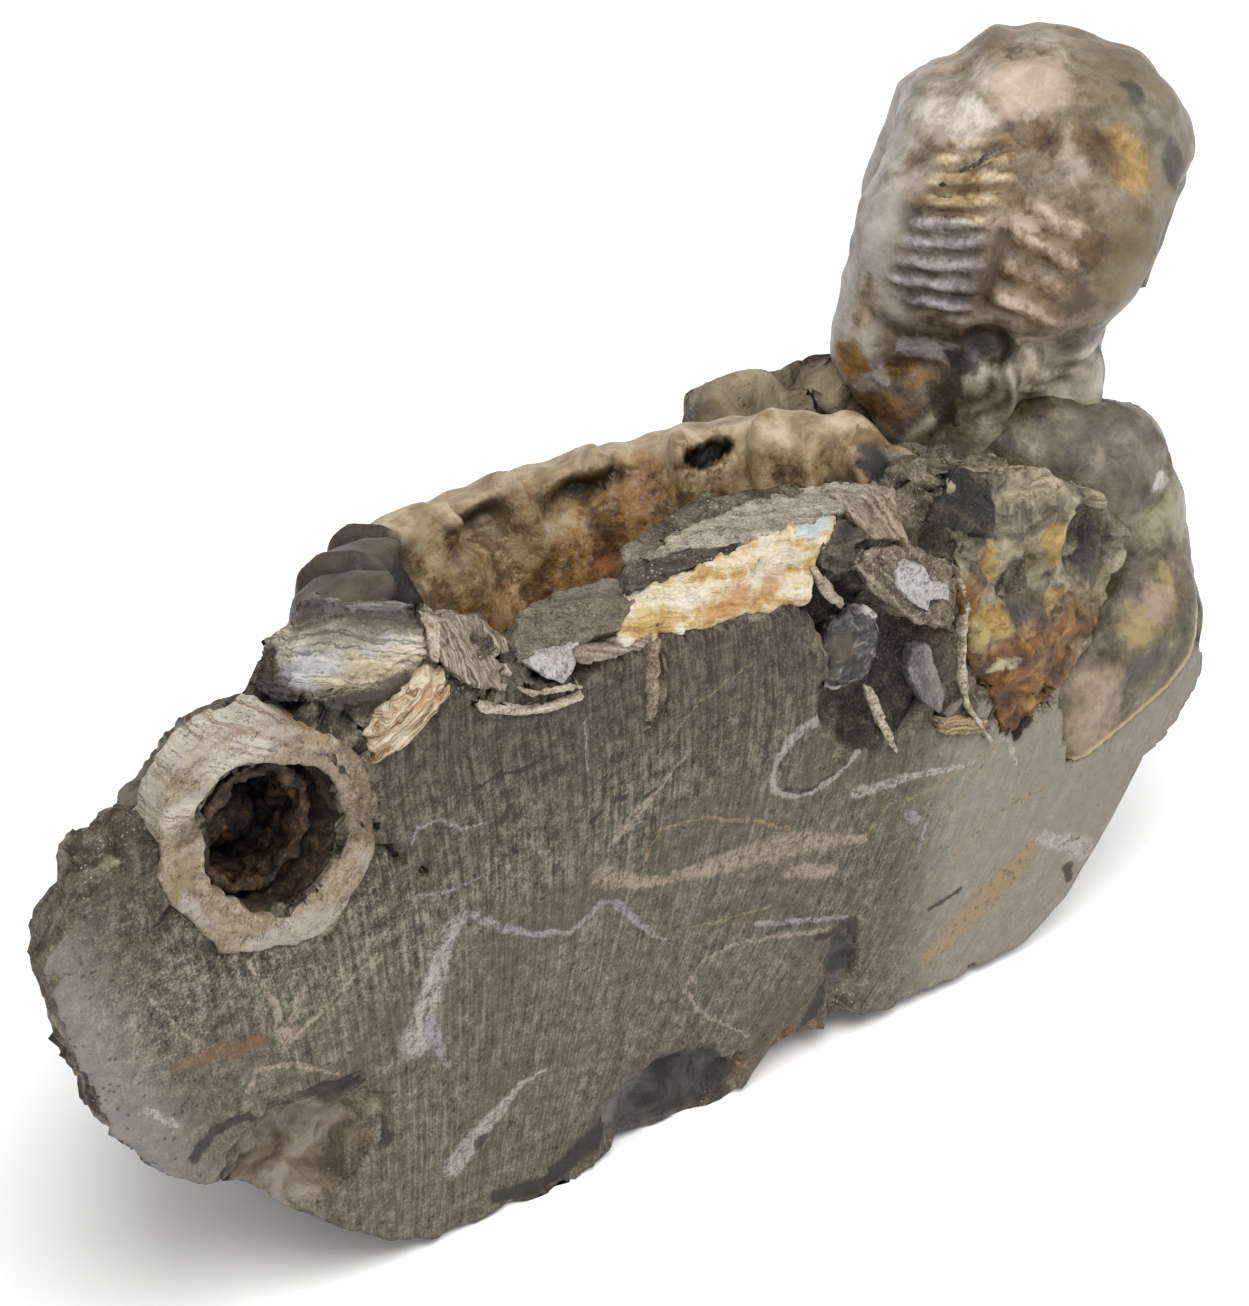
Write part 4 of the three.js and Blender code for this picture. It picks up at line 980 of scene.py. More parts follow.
def dark_shell_finish():
    f = Finish("dark_polished_shell", 0.3, coat=0.12, gloss=0.4, ragged=1.0)
    cloudy = f.mottle(1.6, 5, 0.7, 0.6)
    f.colour = f.shades(cloudy, (0.44, 0.52, 0.59, 0.68), (20, 17, 13), (50, 45, 37), (88, 81, 70),
            (158, 150, 136))
    ring = f.measure("LENGTH", f.vector("DIVIDE", f.vector("SUBTRACT", f.shaken, (55.3, 0, 51)),
            (5.2, 30, 5.2)))
    off = f.gap(ring, 0.9)
    outer_side = f.fade(f.line(f.z, -0.7, f.x), 17.5, 20.0)
    broken_line = f.times(outer_side, f.fade(f.mottle(1.0, 4, 0.7), 0.36, 0.48))
    f.lay((200, 193, 182), f.times(f.fade(off, 0.13, 0.05), broken_line))
    f.patches((88, 72, 50), ((53.4, 1, 52.6), (1.4, 3, 1.8)), strength=0.6)
    return f.done(cloudy, 0.5)


def spine_finish():
    f = Finish("pale_spine", 0.65, gloss=0.3)
    grain = f.grain(0.3)
    f.colour = f.shades(grain["Tone"], (0.42, 0.5, 0.58), (104, 86, 62), (154, 138, 114), (192, 178, 156))
    return f.done(grain["Relief"], 0.4)


def fragment_finish(name, deep, middle, light, across, pitch=1.0, flecks=0.5, lines=0.6, gloss=0.35,
        coat=0.0):
    """Broken rock or layered shell in one small fragment."""
    f = Finish(name, 0.5, coat=coat, gloss=gloss)
    grain = f.grain(0.28)
    layers = f.growth(across, pitch, 1.2)
    tone = f.plus(f.times(layers["Lines"], lines), f.times(grain["Tone"], 1 - lines))
    f.colour = f.shades(tone, (0.42, 0.5, 0.58), deep, middle, light)
    f.lay((210, 202, 186), f.times(grain["Flecks"], flecks))
    f.lay(deep, grain["Specks"], 0.7)
    return f.done(f.blend(layers["Lines"], 0.7, grain["Relief"], 0.5), 0.5)


# ---------------------------------------------------------------- fossils

def around(table, angle):
    """Reads a radius from a few given angles, smoothly, all the way round."""
    angles = sorted(table)
    for i, start in enumerate(angles):
        end = angles[(i + 1) % len(angles)]
        span = (end - start) % 360
        share = ((angle - start) % 360) / span
        if share <= 1:
            t = (1 - math.cos(math.pi * share)) / 2
            return table[start] * (1 - t) + table[end] * t
    return 0.0


# How many degrees the lying coil's chambers take up, and the standing coil's ribs on either side.
CHAMBER_STEP = 26
LEFT_RIB_STEP = 7.2
RIGHT_RIB_STEP = 10.5
# The lying coil's broken septa: degrees turned where each stands out, and how strongly.
RIM_STEPS = ((137.0, 1.2), (120.5, 1.5))
WALL_SHELVES = ((91.0, 1.0), (62.0, 1.1))
# How far the lying coil's crown stands above the plain whorl, by degrees turned.
CROWN = {-30: 0.0, -12: 0.8, 2: 1.8, 14: 3.4, 24: 3.5, 34: 2.8, 44: 2.3, 58: 1.3, 75: 0.9, 95: 0.7,
        112: 1.1, 125: 2.1, 143: 2.4, 158: 0.8, 180: 0.0, 270: 0.0}


def lying_coil():
    piece = casting("lying_coil", "lying_ammonite")
    forms = [ball("rim", (67.6, 14.2, 62.4), (3.2, 4.6, 3.4)),
            ball("rim", (70.4, 10.8, 61.8), (2.8, 3.8, 2.8))]
    piece = together("lying_coil", [piece] + forms)
    skin(piece, 0.5, swell=0.2, soften=3)
    coil = Round(LYING)
    hole = Vector((56.9, 26.3, 61.0))

    def in_hole(spot):
        """How far out from the middle of the break in the crown, 1 at its edge."""
        arm = spot - hole
        if arm.length > 7 or abs(arm.dot(FORWARD)) > 4 or coil.read(spot)[2] < 6:
            return 9
        slip, level = arm.dot(RIGHTWARD) / 2.8, arm.dot(UPWARD) - 0.2 * arm.dot(RIGHTWARD)
        level = level / 1.1 if level > 0 else level / 0.75
        return math.hypot(slip, level) + 0.1 * wander(spot, 1.2)

    def bulge(turned, height):
        """The rounded chambers along the inner wall, from -1 to 1."""
        wave = math.cos(math.radians((turned - 101 - 0.8 * height) * 360 / CHAMBER_STEP))
        return wave * fade(height, -4, 1) * fade(height, 10, 6.5)

    def stroke(spot, normal):
        turned, reach, height = coil.read(spot)
        outward = coil.outward(turned)
        inner = fade(reach, 32, 29)
        push = coil.up * around(CROWN, turned) * fade(height, 6, 10)
        push -= outward * 0.9 * fade(turned, 130, 140) * fade(turned, 185, 170) * fade(height, 0, 8)
        for angle, share in RIM_STEPS:
            behind = turned - angle
            trough = math.exp(-max(0.0, behind - 1.5) / 7.0) if behind > 0 else 0.0
            trough *= fade(behind, 0.0, 1.6)
            top = fade(height, 7, 10)
            lip = bell(behind, 0, 2.4)
            push += (coil.up * 0.5 * lip - coil.up * 1.5 * trough) * share * top
            wall = bell(behind, 4.0, 3.6) * fade(reach, 34, 29) * fade(height, -2, 4)
            wall *= fade(height, 11.5, 9)
            push += outward * 2.4 * wall * share
        for angle, share in WALL_SHELVES:
            along = turned - angle
            shelf = fade(along, 23, 8) * fade(along, -4, -0.5)
            level = 10.6 - 0.06 * along
            ridge = bell(height, level, 0.9) * inner
            under = bell(height - level, -2.0, 1.1) * inner
            push += (coil.up * 0.3 - outward * 1.3) * shelf * ridge * share
            push += outward * 2.2 * shelf * under * share
        push -= FORWARD * 3.2 * fade(in_hole(spot), 1.05, 0.8)
        push += coil.up * 0.25 * bell(in_hole(spot), 1.6, 0.3)
        push -= outward * 2.0 * bell(turned, 41, 9) * inner * fade(height, 1, 6)
        push += outward * 1.6 * bump_at(spot, (65.4, 12.8, 62.6), 2.0)
        push -= outward * 0.8 * bulge(turned, height) * inner
        broken = fade(reach, 31, 27)
        push += normal * (0.2 + 0.8 * broken) * (0.35 * wander(spot, 3.5) + 0.16 * wander(spot, 1.2, 4.0))
        return push

    def shade(spot):
        """How much painted shade a point takes in the hollows behind the broken septa and under the
        shelves.
        """
        turned, reach, height = coil.read(spot)
        dark = 0.0
        for angle, share in RIM_STEPS:
            behind = turned - angle
            dark += bell(behind, 2.6, 2.2) * fade(height, 12.5, 10.5) * fade(height, 1, 7)
        for angle, share in WALL_SHELVES:
            along = turned - angle
            low = height - 10.6 + 0.06 * along
            dark += fade(along, 24, 8) * fade(along, -5, -1) * bell(low, -1.7, 0.9)
        return min(1.0, dark)

    before = [(vertex.co - ZERO) / MM for vertex in piece.data.vertices]
    marks = {"dip": [shade(spot) for spot in before],
            # Painted shade: near black inside the break in the crown.
            "hollow": [fade(in_hole(spot), 1.1, 0.85) for spot in before],
            "lip": [bell(in_hole(spot), 1.7, 0.3) for spot in before]}
    sculpt(piece, stroke)
    for name, values in marks.items():
        layer = piece.data.attributes.new(name, "FLOAT", "POINT")
        layer.data.foreach_set("value", values)
    note(piece, "turned", lambda spot, normal: coil.read(spot)[0])
    note(piece, "bulge", lambda spot, normal: bulge(coil.read(spot)[0], coil.read(spot)[2]))
    note(piece, "rim", lambda spot, normal: fade(coil.read(spot)[2], 10.4, 12.0))
    note(piece, "level", lambda spot, normal: coil.read(spot)[2])
    return settle(piece, brown_shell_finish(), "brown_shell", "lying_ammonite")


def signed(turned):
    """Degrees turned, from -180 to 180."""
    return (turned + 180) % 360 - 180


def neck_share(spot):
    """How far a point belongs to the wrinkled neck under the standing coil."""
    level = 71.5 - 1.9 * max(0.0, spot.y - 16) - 0.55 * max(0.0, spot.x - 93)
    return fade(spot.z, level + 1.5, level - 1.5)


def standing_coil():
    piece = casting("standing_coil", "standing_ammonite")
    forms = [ball("foot", (84.8, 32, 65), (5.0, 6, 8.5), (0, 8, 0)),
            ball("neck", (94.5, 22, 59), (9.6, 7.6, 13)), ball("neck", (88, 27, 58), (7, 6, 7)),
            ball("neck", (100, 18, 58), (6.4, 6, 10)), ball("neck", (92.5, 19, 65.5), (6.5, 6, 7)),
            ball("neck", (93.2, 16.2, 66.5), (5.6, 4.4, 5.6))]
    piece = together("standing_coil", [piece] + forms)
    skin(piece, 0.6, soften=26)
    coil = Round(STANDING)

    def rib(spot):
        """The ribs on both sides of the back: how strong they are, and their wave."""
        turned, reach, height = coil.read(spot)
        turned = signed(turned)
        outer = fade(reach, 13, 16)
        uneven = 1.6 * wander(spot, 8.0, 7.0) + 0.9 * wander(spot, 2.6, 12.0)
        if height > -0.5:
            blurred = height + 1.2 * wander(spot, 3.0, 9.0)
            reach_side = fade(blurred, 11.5, 8.5) * fade(blurred, 0.0, 2.0)
            low = fade(turned, -9, -4) * fade(turned, 60, 53)
            golden = fade(turned, 26, 30)
            wave = math.cos(math.radians((turned + 0.9 * height - 0.8 + uneven) * 360 / LEFT_RIB_STEP))
            patchy = fade(wander(spot, 4.5, 21.0), -0.75, -0.2) * (1 - golden * fade(height, 8.0, 10.0))
            return outer * reach_side * low * patchy, wave
        reach_side = fade(height, -10.5, -8.0) * fade(height, -0.6, -1.8)
        low = fade(turned, -2, 3) * fade(turned, 43, 36)
        along = turned - 6.5 + 0.5 * abs(height) + 1.3 * uneven
        wave = math.cos(math.radians(along * 360 / RIGHT_RIB_STEP))
        return outer * reach_side * low * fade(wander(spot, 4.0, 15.0), -0.9, -0.3), wave

    def ribbed(spot, normal):
        """The whole ribbed part of the back, fading out at its ends."""
        turned, reach, height = coil.read(spot)
        turned = signed(turned) + 3 * wander(spot, 4.0, 19.0)
        across = abs(height) + 1.5 * wander(spot, 4.0, 23.0)
        return fade(reach, 11, 15) * fade(across, 13.5, 9.5) * fade(turned, -16, -4) * fade(turned, 60, 46)

    def groove(spot):
        """The groove along the middle of the back."""
        turned, reach, height = coil.read(spot)
        turned = signed(turned)
        return bell(height, -0.3, 0.9) * fade(turned, -4, 3) * fade(turned, 34, 27) * fade(reach, 12, 15)

    def fold_of(spot, normal):
        """The skirt of wrinkles that spreads down from the foot, from 0 to 1."""
        arm = spot - Vector((91, 17, 71))
        angle = math.atan2(right_of(arm), -arm.z)
        folds = math.cos(angle * 8 + 4.5 * wander(spot, 7))
        folds += 0.8 * math.cos(angle * 17 + 6 * wander(spot, 5, 2.0))
        return 0.5 + folds / 3.6

    def stroke(spot, normal):
        turned, reach, height = coil.read(spot)
        band, wave = rib(spot)
        uneven = 0.8 * wander(spot, 8) + 0.35 * wander(spot, 3.2, 3.0)
        dents = 1.2 * bump_at(spot, (95.4, 20, 90.4), 4.2) + 1.6 * bump_at(spot, (102.6, 16, 90), 4.6)
        dents += 2.8 * bump_at(spot, (88.2, 17.2, 69.8), 3.8) + 0.9 * groove(spot)
        lift = 0.9 * bump_at(spot, (89, 22, 88), 4.0)
        fold = (fold_of(spot, normal) - 0.5) * neck_share(spot) * fade(71 - spot.z, 0, 9)
        push = normal * ((0.5 + 0.3 * wander(spot, 3.0, 17.0)) * band * wave + uneven - dents + lift + fold)
        side = right_of(spot)
        crown = fade(spot.z, 84, 91)
        push += Vector((0, 0, 1)) * crown * (1.7 * fade(side, 61, 66) - 3.0 * fade(side, 61, 55))
        push += RIGHTWARD * 1.2 * fade(side, 66, 74) * fade(spot.z, 88, 84) * fade(spot.z, 68, 76)
        push -= RIGHTWARD * 0.9 * fade(side, 48, 44) * fade(spot.z, 86, 82) * fade(spot.z, 68, 72)
        push += Vector((0, 2.2, 0)) * fade(spot.z, 75, 67) * fade(spot.y, 18, 14) * fade(spot.x, 88, 92)
        push += coil.up * 0.8 * fade(spot.x, 108, 113) * fade(height, -11, -15) * fade(spot.z, 84, 74)
        return push

    sculpt(piece, stroke)
    note(piece, "band", lambda spot, normal: rib(spot)[0])
    note(piece, "crest", lambda spot, normal: fade(rib(spot)[1], -0.5, 0.75))
    note(piece, "left_side", lambda spot, normal: fade(coil.read(spot)[2], -0.8, 0.2))
    note(piece, "groove", lambda spot, normal: groove(spot))
    note(piece, "golden", lambda spot, normal: fade(signed(coil.read(spot)[0]), 24, 28))
    note(piece, "fold", fold_of)
    note(piece, "ribbed", ribbed)
    note(piece, "margin", lambda spot, normal: fade(coil.read(spot)[2] + 1.2 * wander(spot, 4), 12.0, 14.0))
    note(piece, "neck", lambda spot, normal: neck_share(spot))
    return settle(piece, ribbed_shell_finish(), "ribbed_shell", "standing_ammonite")


# Where the flank coil's shell is cut by the ground face: x and z along the cut.
FLANK_CUT = [(83, 26), (85.3, 23.3), (89.6, 23.4), (96.7, 25.9), (102.2, 28.0), (105.6, 31.0), (108, 36)]


def beside_cut(spot):
    """How far a point lies below the flank coil's cut edge, seen square on to the ground face."""
    nearest = 99.0
    side = 1.0
    here = Vector((spot.x, spot.z))
    for start, end in zip(FLANK_CUT, FLANK_CUT[1:]):
        first = Vector(start)
        run = Vector(end) - first
        share = min(1.0, max(0.0, (here - first).dot(run) / run.dot(run)))
        away = here - first - run * share
        if away.length < nearest:
            nearest = away.length
            side = -1.0 if run.x * away.y - run.y * away.x > 0 else 1.0
    return nearest * side


def flank_coil():
    piece = casting("flank_coil", "flank_ammonite")
    forms = [ball("shoulder", (101.5, 14, 49.5), (9.6, 8, 9.4), (0, 20, 0)),
            ball("shoulder", (95, 17, 54), (8, 7, 7)), ball("shoulder", (105, 11.5, 44), (6.6, 6, 9))]
    piece = together("flank_coil", [piece] + forms)
    skin(piece, 0.55, swell=0.2, soften=24)

    def stroke(spot, normal):
        beyond = fade(beside_cut(spot), -0.3, 0.3) * fade(spot.y, 2.5, 1.0)
        keep = fade(spot.y, 0.3, 2.0)
        uneven = 0.8 * wander(spot, 7) + 0.3 * facets(spot, 5) + 0.15 * wander(spot, 1.8)
        return Vector((0, 1.3 * beyond, 0)) + normal * keep * uneven

    sculpt(piece, stroke)

    def cut_edge(spot, normal):
        return fade(abs(beside_cut(spot) + 0.45), 0.75, 0.25) * fade(spot.y, 2.5, 1.5)

    note(piece, "cut", cut_edge)
    return settle(piece, flank_shell_finish(), "flank_shell", "flank_ammonite")


# The hollow shell's opening and its outer edge: how far from its middle, by degrees.
LIP = {-130: 6.2, -72: 9.5, -31: 9.6, 21: 8.4, 69: 7.8, 115: 9.2, 141: 9.2, 165: 7.6}
SHELL_RIM = {-145: 10.6, -99: 12.4, -66: 14.8, -37: 14.4, -3: 12.5, 49: 11.6, 80: 12.4, 113: 13.9,
        137: 14.6, 166: 13.0}


def cream_shell():
    piece = casting("cream_shell", "hollow_shell")
    skin(piece, 0.42, soften=2)

    def off_axis(spot):
        """The arm out to a point from the shell's axis, which sinks and turns right as it goes back."""
        down = (max(0.0, spot.y) / 25) ** 1.3
        return Vector((spot.x - MOUTH.x - 3 * down, 0, spot.z - MOUTH.z + 9 * down))

    def stroke(spot, normal):
        arm = off_axis(spot)
        away = arm.length
        angle = math.degrees(math.atan2(arm.z, arm.x))
        radial = arm / away
        front = fade(spot.y, 6.0, 1.0)
        inner = fade(away, 10.6, 9.4)
        outer = 1 - inner
        push = radial * front * inner * (around(LIP, angle) - 7.9)
        push += radial * front * outer * (around(SHELL_RIM, angle) - 12.7)
        sector = fade(angle, 30, 55) * fade(angle, 205, 178) if angle > -155 else fade(angle, -155, -182)
        lip = around(LIP, angle) + 1.3
        push += Vector((0, 1, 0)) * 1.5 * max(0.0, away - lip) * sector * fade(spot.y, 7, 2)
        push += normal * (0.45 * wander(spot, 2.4) + 0.25 * wander(spot, 0.9, 2.0))
        behind = fade(spot.y, 6, 11) * fade(spot.x, -17, -22) * fade(spot.z, 54, 60)
        push += RIGHTWARD * 3.0 * behind
        step = math.floor(3 * wander(Vector((angle / 9, away, spot.y / 2.2)), 1.6, 11.0)) / 3
        push += radial * outer * 0.8 * step * fade(spot.y, 0.5, 1.5)
        push += normal * inner * 0.7 * wander(spot, 1.5, 6.0) * fade(spot.y, 0.5, 2.0)
        if spot.y < 0.8:
            worn = 0.5 * max(0.0, wander(spot, 1.4, 9.0)) + 0.35 * max(0.0, wander(spot, 0.7, 3.0))
            push.y = worn + 0.9 * fade(away, around(LIP, angle) + 0.2, around(LIP, angle) - 1.2)
        return push

    sculpt(piece, stroke)

    def rocky(spot, normal):
        return fade(spot.y + 0.2 * (-26 - spot.x) + wander(spot, 2.5), 6.4, 7.4)

    def inside(spot, normal):
        return fade(spot.y, 0.5, 1.5) * fade(off_axis(spot).dot(normal), 1.0, -1.0)

    def outside(spot, normal):
        return fade(spot.y, 0.6, 1.6) * fade(off_axis(spot).dot(normal), 1.5, 4.0)

    note(piece, "rocky", rocky)
    note(piece, "inside", inside)
    note(piece, "outside", outside)
    return settle(piece, cream_shell_finish(), "cream_calcite", "hollow_shell")


def drusy_lining():
    piece = casting("lining", "crystal_crust")
    lumps = [ball("lump", (-21.5, 9.5, 58.5), (3.2, 3.2, 3.0)),
            ball("lump", (-17.0, 11.5, 56.5), (3.4, 3.4, 3.4))]
    piece = together("drusy_lining", [piece] + lumps)
    skin(piece, 0.36, soften=2)
    sculpt(piece, lambda spot, normal: normal * rough(spot, 0.5, 1.2, 0.35, 1.8))
    return settle(piece, crystal_finish(), "crystals", "crystal_crust")


def amber_calcite():
    piece = casting("amber_calcite", "calcite_chunk")
    skin(piece, 0.45, swell=0.3)

    def stroke(spot, normal):
        push = normal * (1.1 * facets(spot, 6.5) + 0.7 * facets(spot, 2.6, 3.0) + 0.25 * wander(spot, 1.0))
        push += Vector((0, 1, 0)) * 5.0 * bump_at(spot, (89.5, 3, 51.6), 5.5)
        push += Vector((0, 1, 0)) * 3.0 * bump_at(spot, (80, 1.5, 50), 5.5)
        push -= Vector((0, 1, 0)) * 1.2 * bump_at(spot, (81, 1, 42.5), 7)
        return push

    sculpt(piece, stroke)
    return settle(piece, amber_finish(), "amber_calcite", "calcite_chunk")


def golden_plate():
    piece = casting("golden_plate", "nacre_plate")
    skin(piece, 0.32, swell=0.3)

    def stroke(spot, normal):
        step = math.floor(4 * wander(Vector((spot.x * 0.5, spot.y, spot.z * 1.6)), 3.0)) / 4
        return normal * (0.5 * step + 0.5 * facets(spot, 2.6) + 0.2 * wander(spot, 0.8))

    sculpt(piece, stroke)
    return settle(piece, golden_finish(), "nacre", "nacre_plate")


def grey_lens():
    piece = casting("grey_lens", "lens_shell")
    skin(piece, 0.36, swell=0.2)

    def stroke(spot, normal):
        layer = spot.dot(Vector((0.35, 0.5, 0.8))) + wander(spot, 5) * 2.2
        step = math.floor(layer * 0.9) / 0.9 - layer
        pull = RIGHTWARD * 3.2 * fade(spot.x, -9, -16)
        pull += Vector((0, 0, -1)) * (1.4 + 2.0 * fade(spot.x, -4, -10)) * fade(spot.z, 71.5, 75.5)
        return pull + normal * (1.0 * facets(spot, 6.5) + 0.35 * step + 0.15 * wander(spot, 1.2))

    sculpt(piece, stroke)
    return settle(piece, lens_finish(), "grey_shell", "lens_shell")


def growth_line_shell():
    piece = casting("growth_line_shell", "ribbed_shell")
    skin(piece, 0.28, swell=0.2)
    across = Vector((-0.45, 0, 0.9))

    def stroke(spot, normal):
        line = spot.dot(across) + 0.9 * wander(spot, 2.5)
        return normal * (0.3 * math.sin(line * 4.2) + 0.25 * wander(spot, 1.0) + 0.3 * facets(spot, 2.5))

    sculpt(piece, stroke)
    return settle(piece, white_shell_finish(), "white_shell", "ribbed_shell")


def small_coil():
    piece = casting("small_coil", "small_coiled_shell")
    lump = ball("lump", (55.3, 2.6, 51), (4.6, 2.2, 4.9), (0, 20, 0))
    piece = together("small_coil", [piece, lump])
    skin(piece, 0.25)
    sculpt(piece, lambda spot, normal: normal * rough(spot, 0.4, 2.4, 0.2, 1.0))
    return settle(piece, dark_shell_finish(), "grey_shell", "small_coiled_shell")


# The two loose chips of shell: their front corners.
WHITE_CHIP = [(63.2, 3.6, 56.5), (64.8, 3.8, 57.3), (67.5, 3.8, 55.5), (68.4, 3.4, 53.3), (70.9, 3.4, 52.1),
              (70.2, 2.8, 50.9), (67.7, 2.8, 51.8), (67.0, 2.4, 50.7), (64.5, 2.8, 53.1), (63.2, 3.1, 54.8)]
PALE_CHIP = [(12.4, 1.4, 66.8), (15.9, 1.8, 66.6), (19.5, 1.6, 66.1), (18.3, 0.6, 64.1), (16.5, 0.0, 63.1),
             (14.6, 0.4, 64.7)]


def chips():
    """The two chips, which the rock leaves room for, and the upright spine."""
    finish = chip_finish()
    white = slab("white_chip", WHITE_CHIP, (0, 1.6, 0), 0.2, 0)
    pale = slab("pale_chip", PALE_CHIP, (0, 1.6, -0.4), 0.2, 0)
    for piece, node, lift in ((white, "white_shell_chip", 1.9), (pale, "pale_shell_chip", 0.4)):
        step = FORWARD * lift
        sculpt(piece, lambda spot, normal: step + normal * rough(spot, 0.2, 2.0, 0.1, 0.6))
        settle(piece, finish, "white_shell", node)
    rod = casting("upright_spine", "spine")
    skin(rod, 0.2, swell=0.3)
    sculpt(rod, lambda spot, normal: normal * rough(spot, 0.15, 0.8, 0.3, 1.2))
    settle(rod, spine_finish(), "spine", "spine")
    return [white, pale]


# ---------------------------------------------------------------- fragments along the broken top

# Finishes of the small fragments: deep, middle and light colour, the direction across the layers, their
# pitch, how many flecks there are, how strong the lines are, and the gloss and the coat where it shines.
FRAGMENT_FINISHES = {
    "dark_sparkling_rock": ((40, 34, 27), (76, 67, 54), (112, 101, 84), (0.2, 0.3, 1.0), 0.8, 0.7, 0.4),
    "grey_speckled_rock": ((78, 69, 56), (118, 108, 92), (150, 140, 122), (0.3, 0.5, 1.0), 1.6, 0.5, 0.3),
    "beige_speckled_rock": ((62, 52, 40), (128, 114, 94), (176, 162, 140), (0.8, 0.3, 0.6), 1.6, 0.8, 0.35),
    "tan_streaked_facet": ((104, 88, 68), (152, 136, 114), (186, 172, 152), (0.9, 0.2, 0.2), 1.2, 0.3, 0.6),
    "streaked_layers": ((108, 98, 82), (164, 153, 133), (206, 197, 178), (0.35, 0.6, 0.9), 1.3, 0.7, 0.3),
    "striated_grey_shell": ((84, 74, 58), (144, 131, 110), (190, 178, 156), (0.9, 0.4, -0.25),
     0.55, 0.3, 0.75),
    "pearly_brown_shell": ((98, 80, 62), (142, 124, 106), (186, 172, 164), (0.4, 0.2, 0.9),
     0.9, 0.5, 0.6, 0.5, 0.3),
    "dark_brown_facets": ((16, 11, 7), (36, 28, 20), (84, 71, 52), (0.7, 0.2, 0.7),
     2.2, 0.1, 0.5, 0.4, 0.1),
    "golden_broken_rim": ((48, 34, 20), (134, 108, 66), (190, 172, 134), (0.3, 0.2, 1.0),
     0.9, 0.3, 0.6, 0.4, 0.2),
    "thin_shell_edges": ((120, 100, 74), (182, 168, 144), (218, 210, 196), (0.2, 0.3, 1.0), 0.9, 0.3, 0.3),
    "smoky_shell": ((64, 58, 50), (104, 97, 87), (142, 135, 124), (1.0, 0.2, 0.1),
     1.6, 0.2, 0.5, 0.45, 0.3),
}

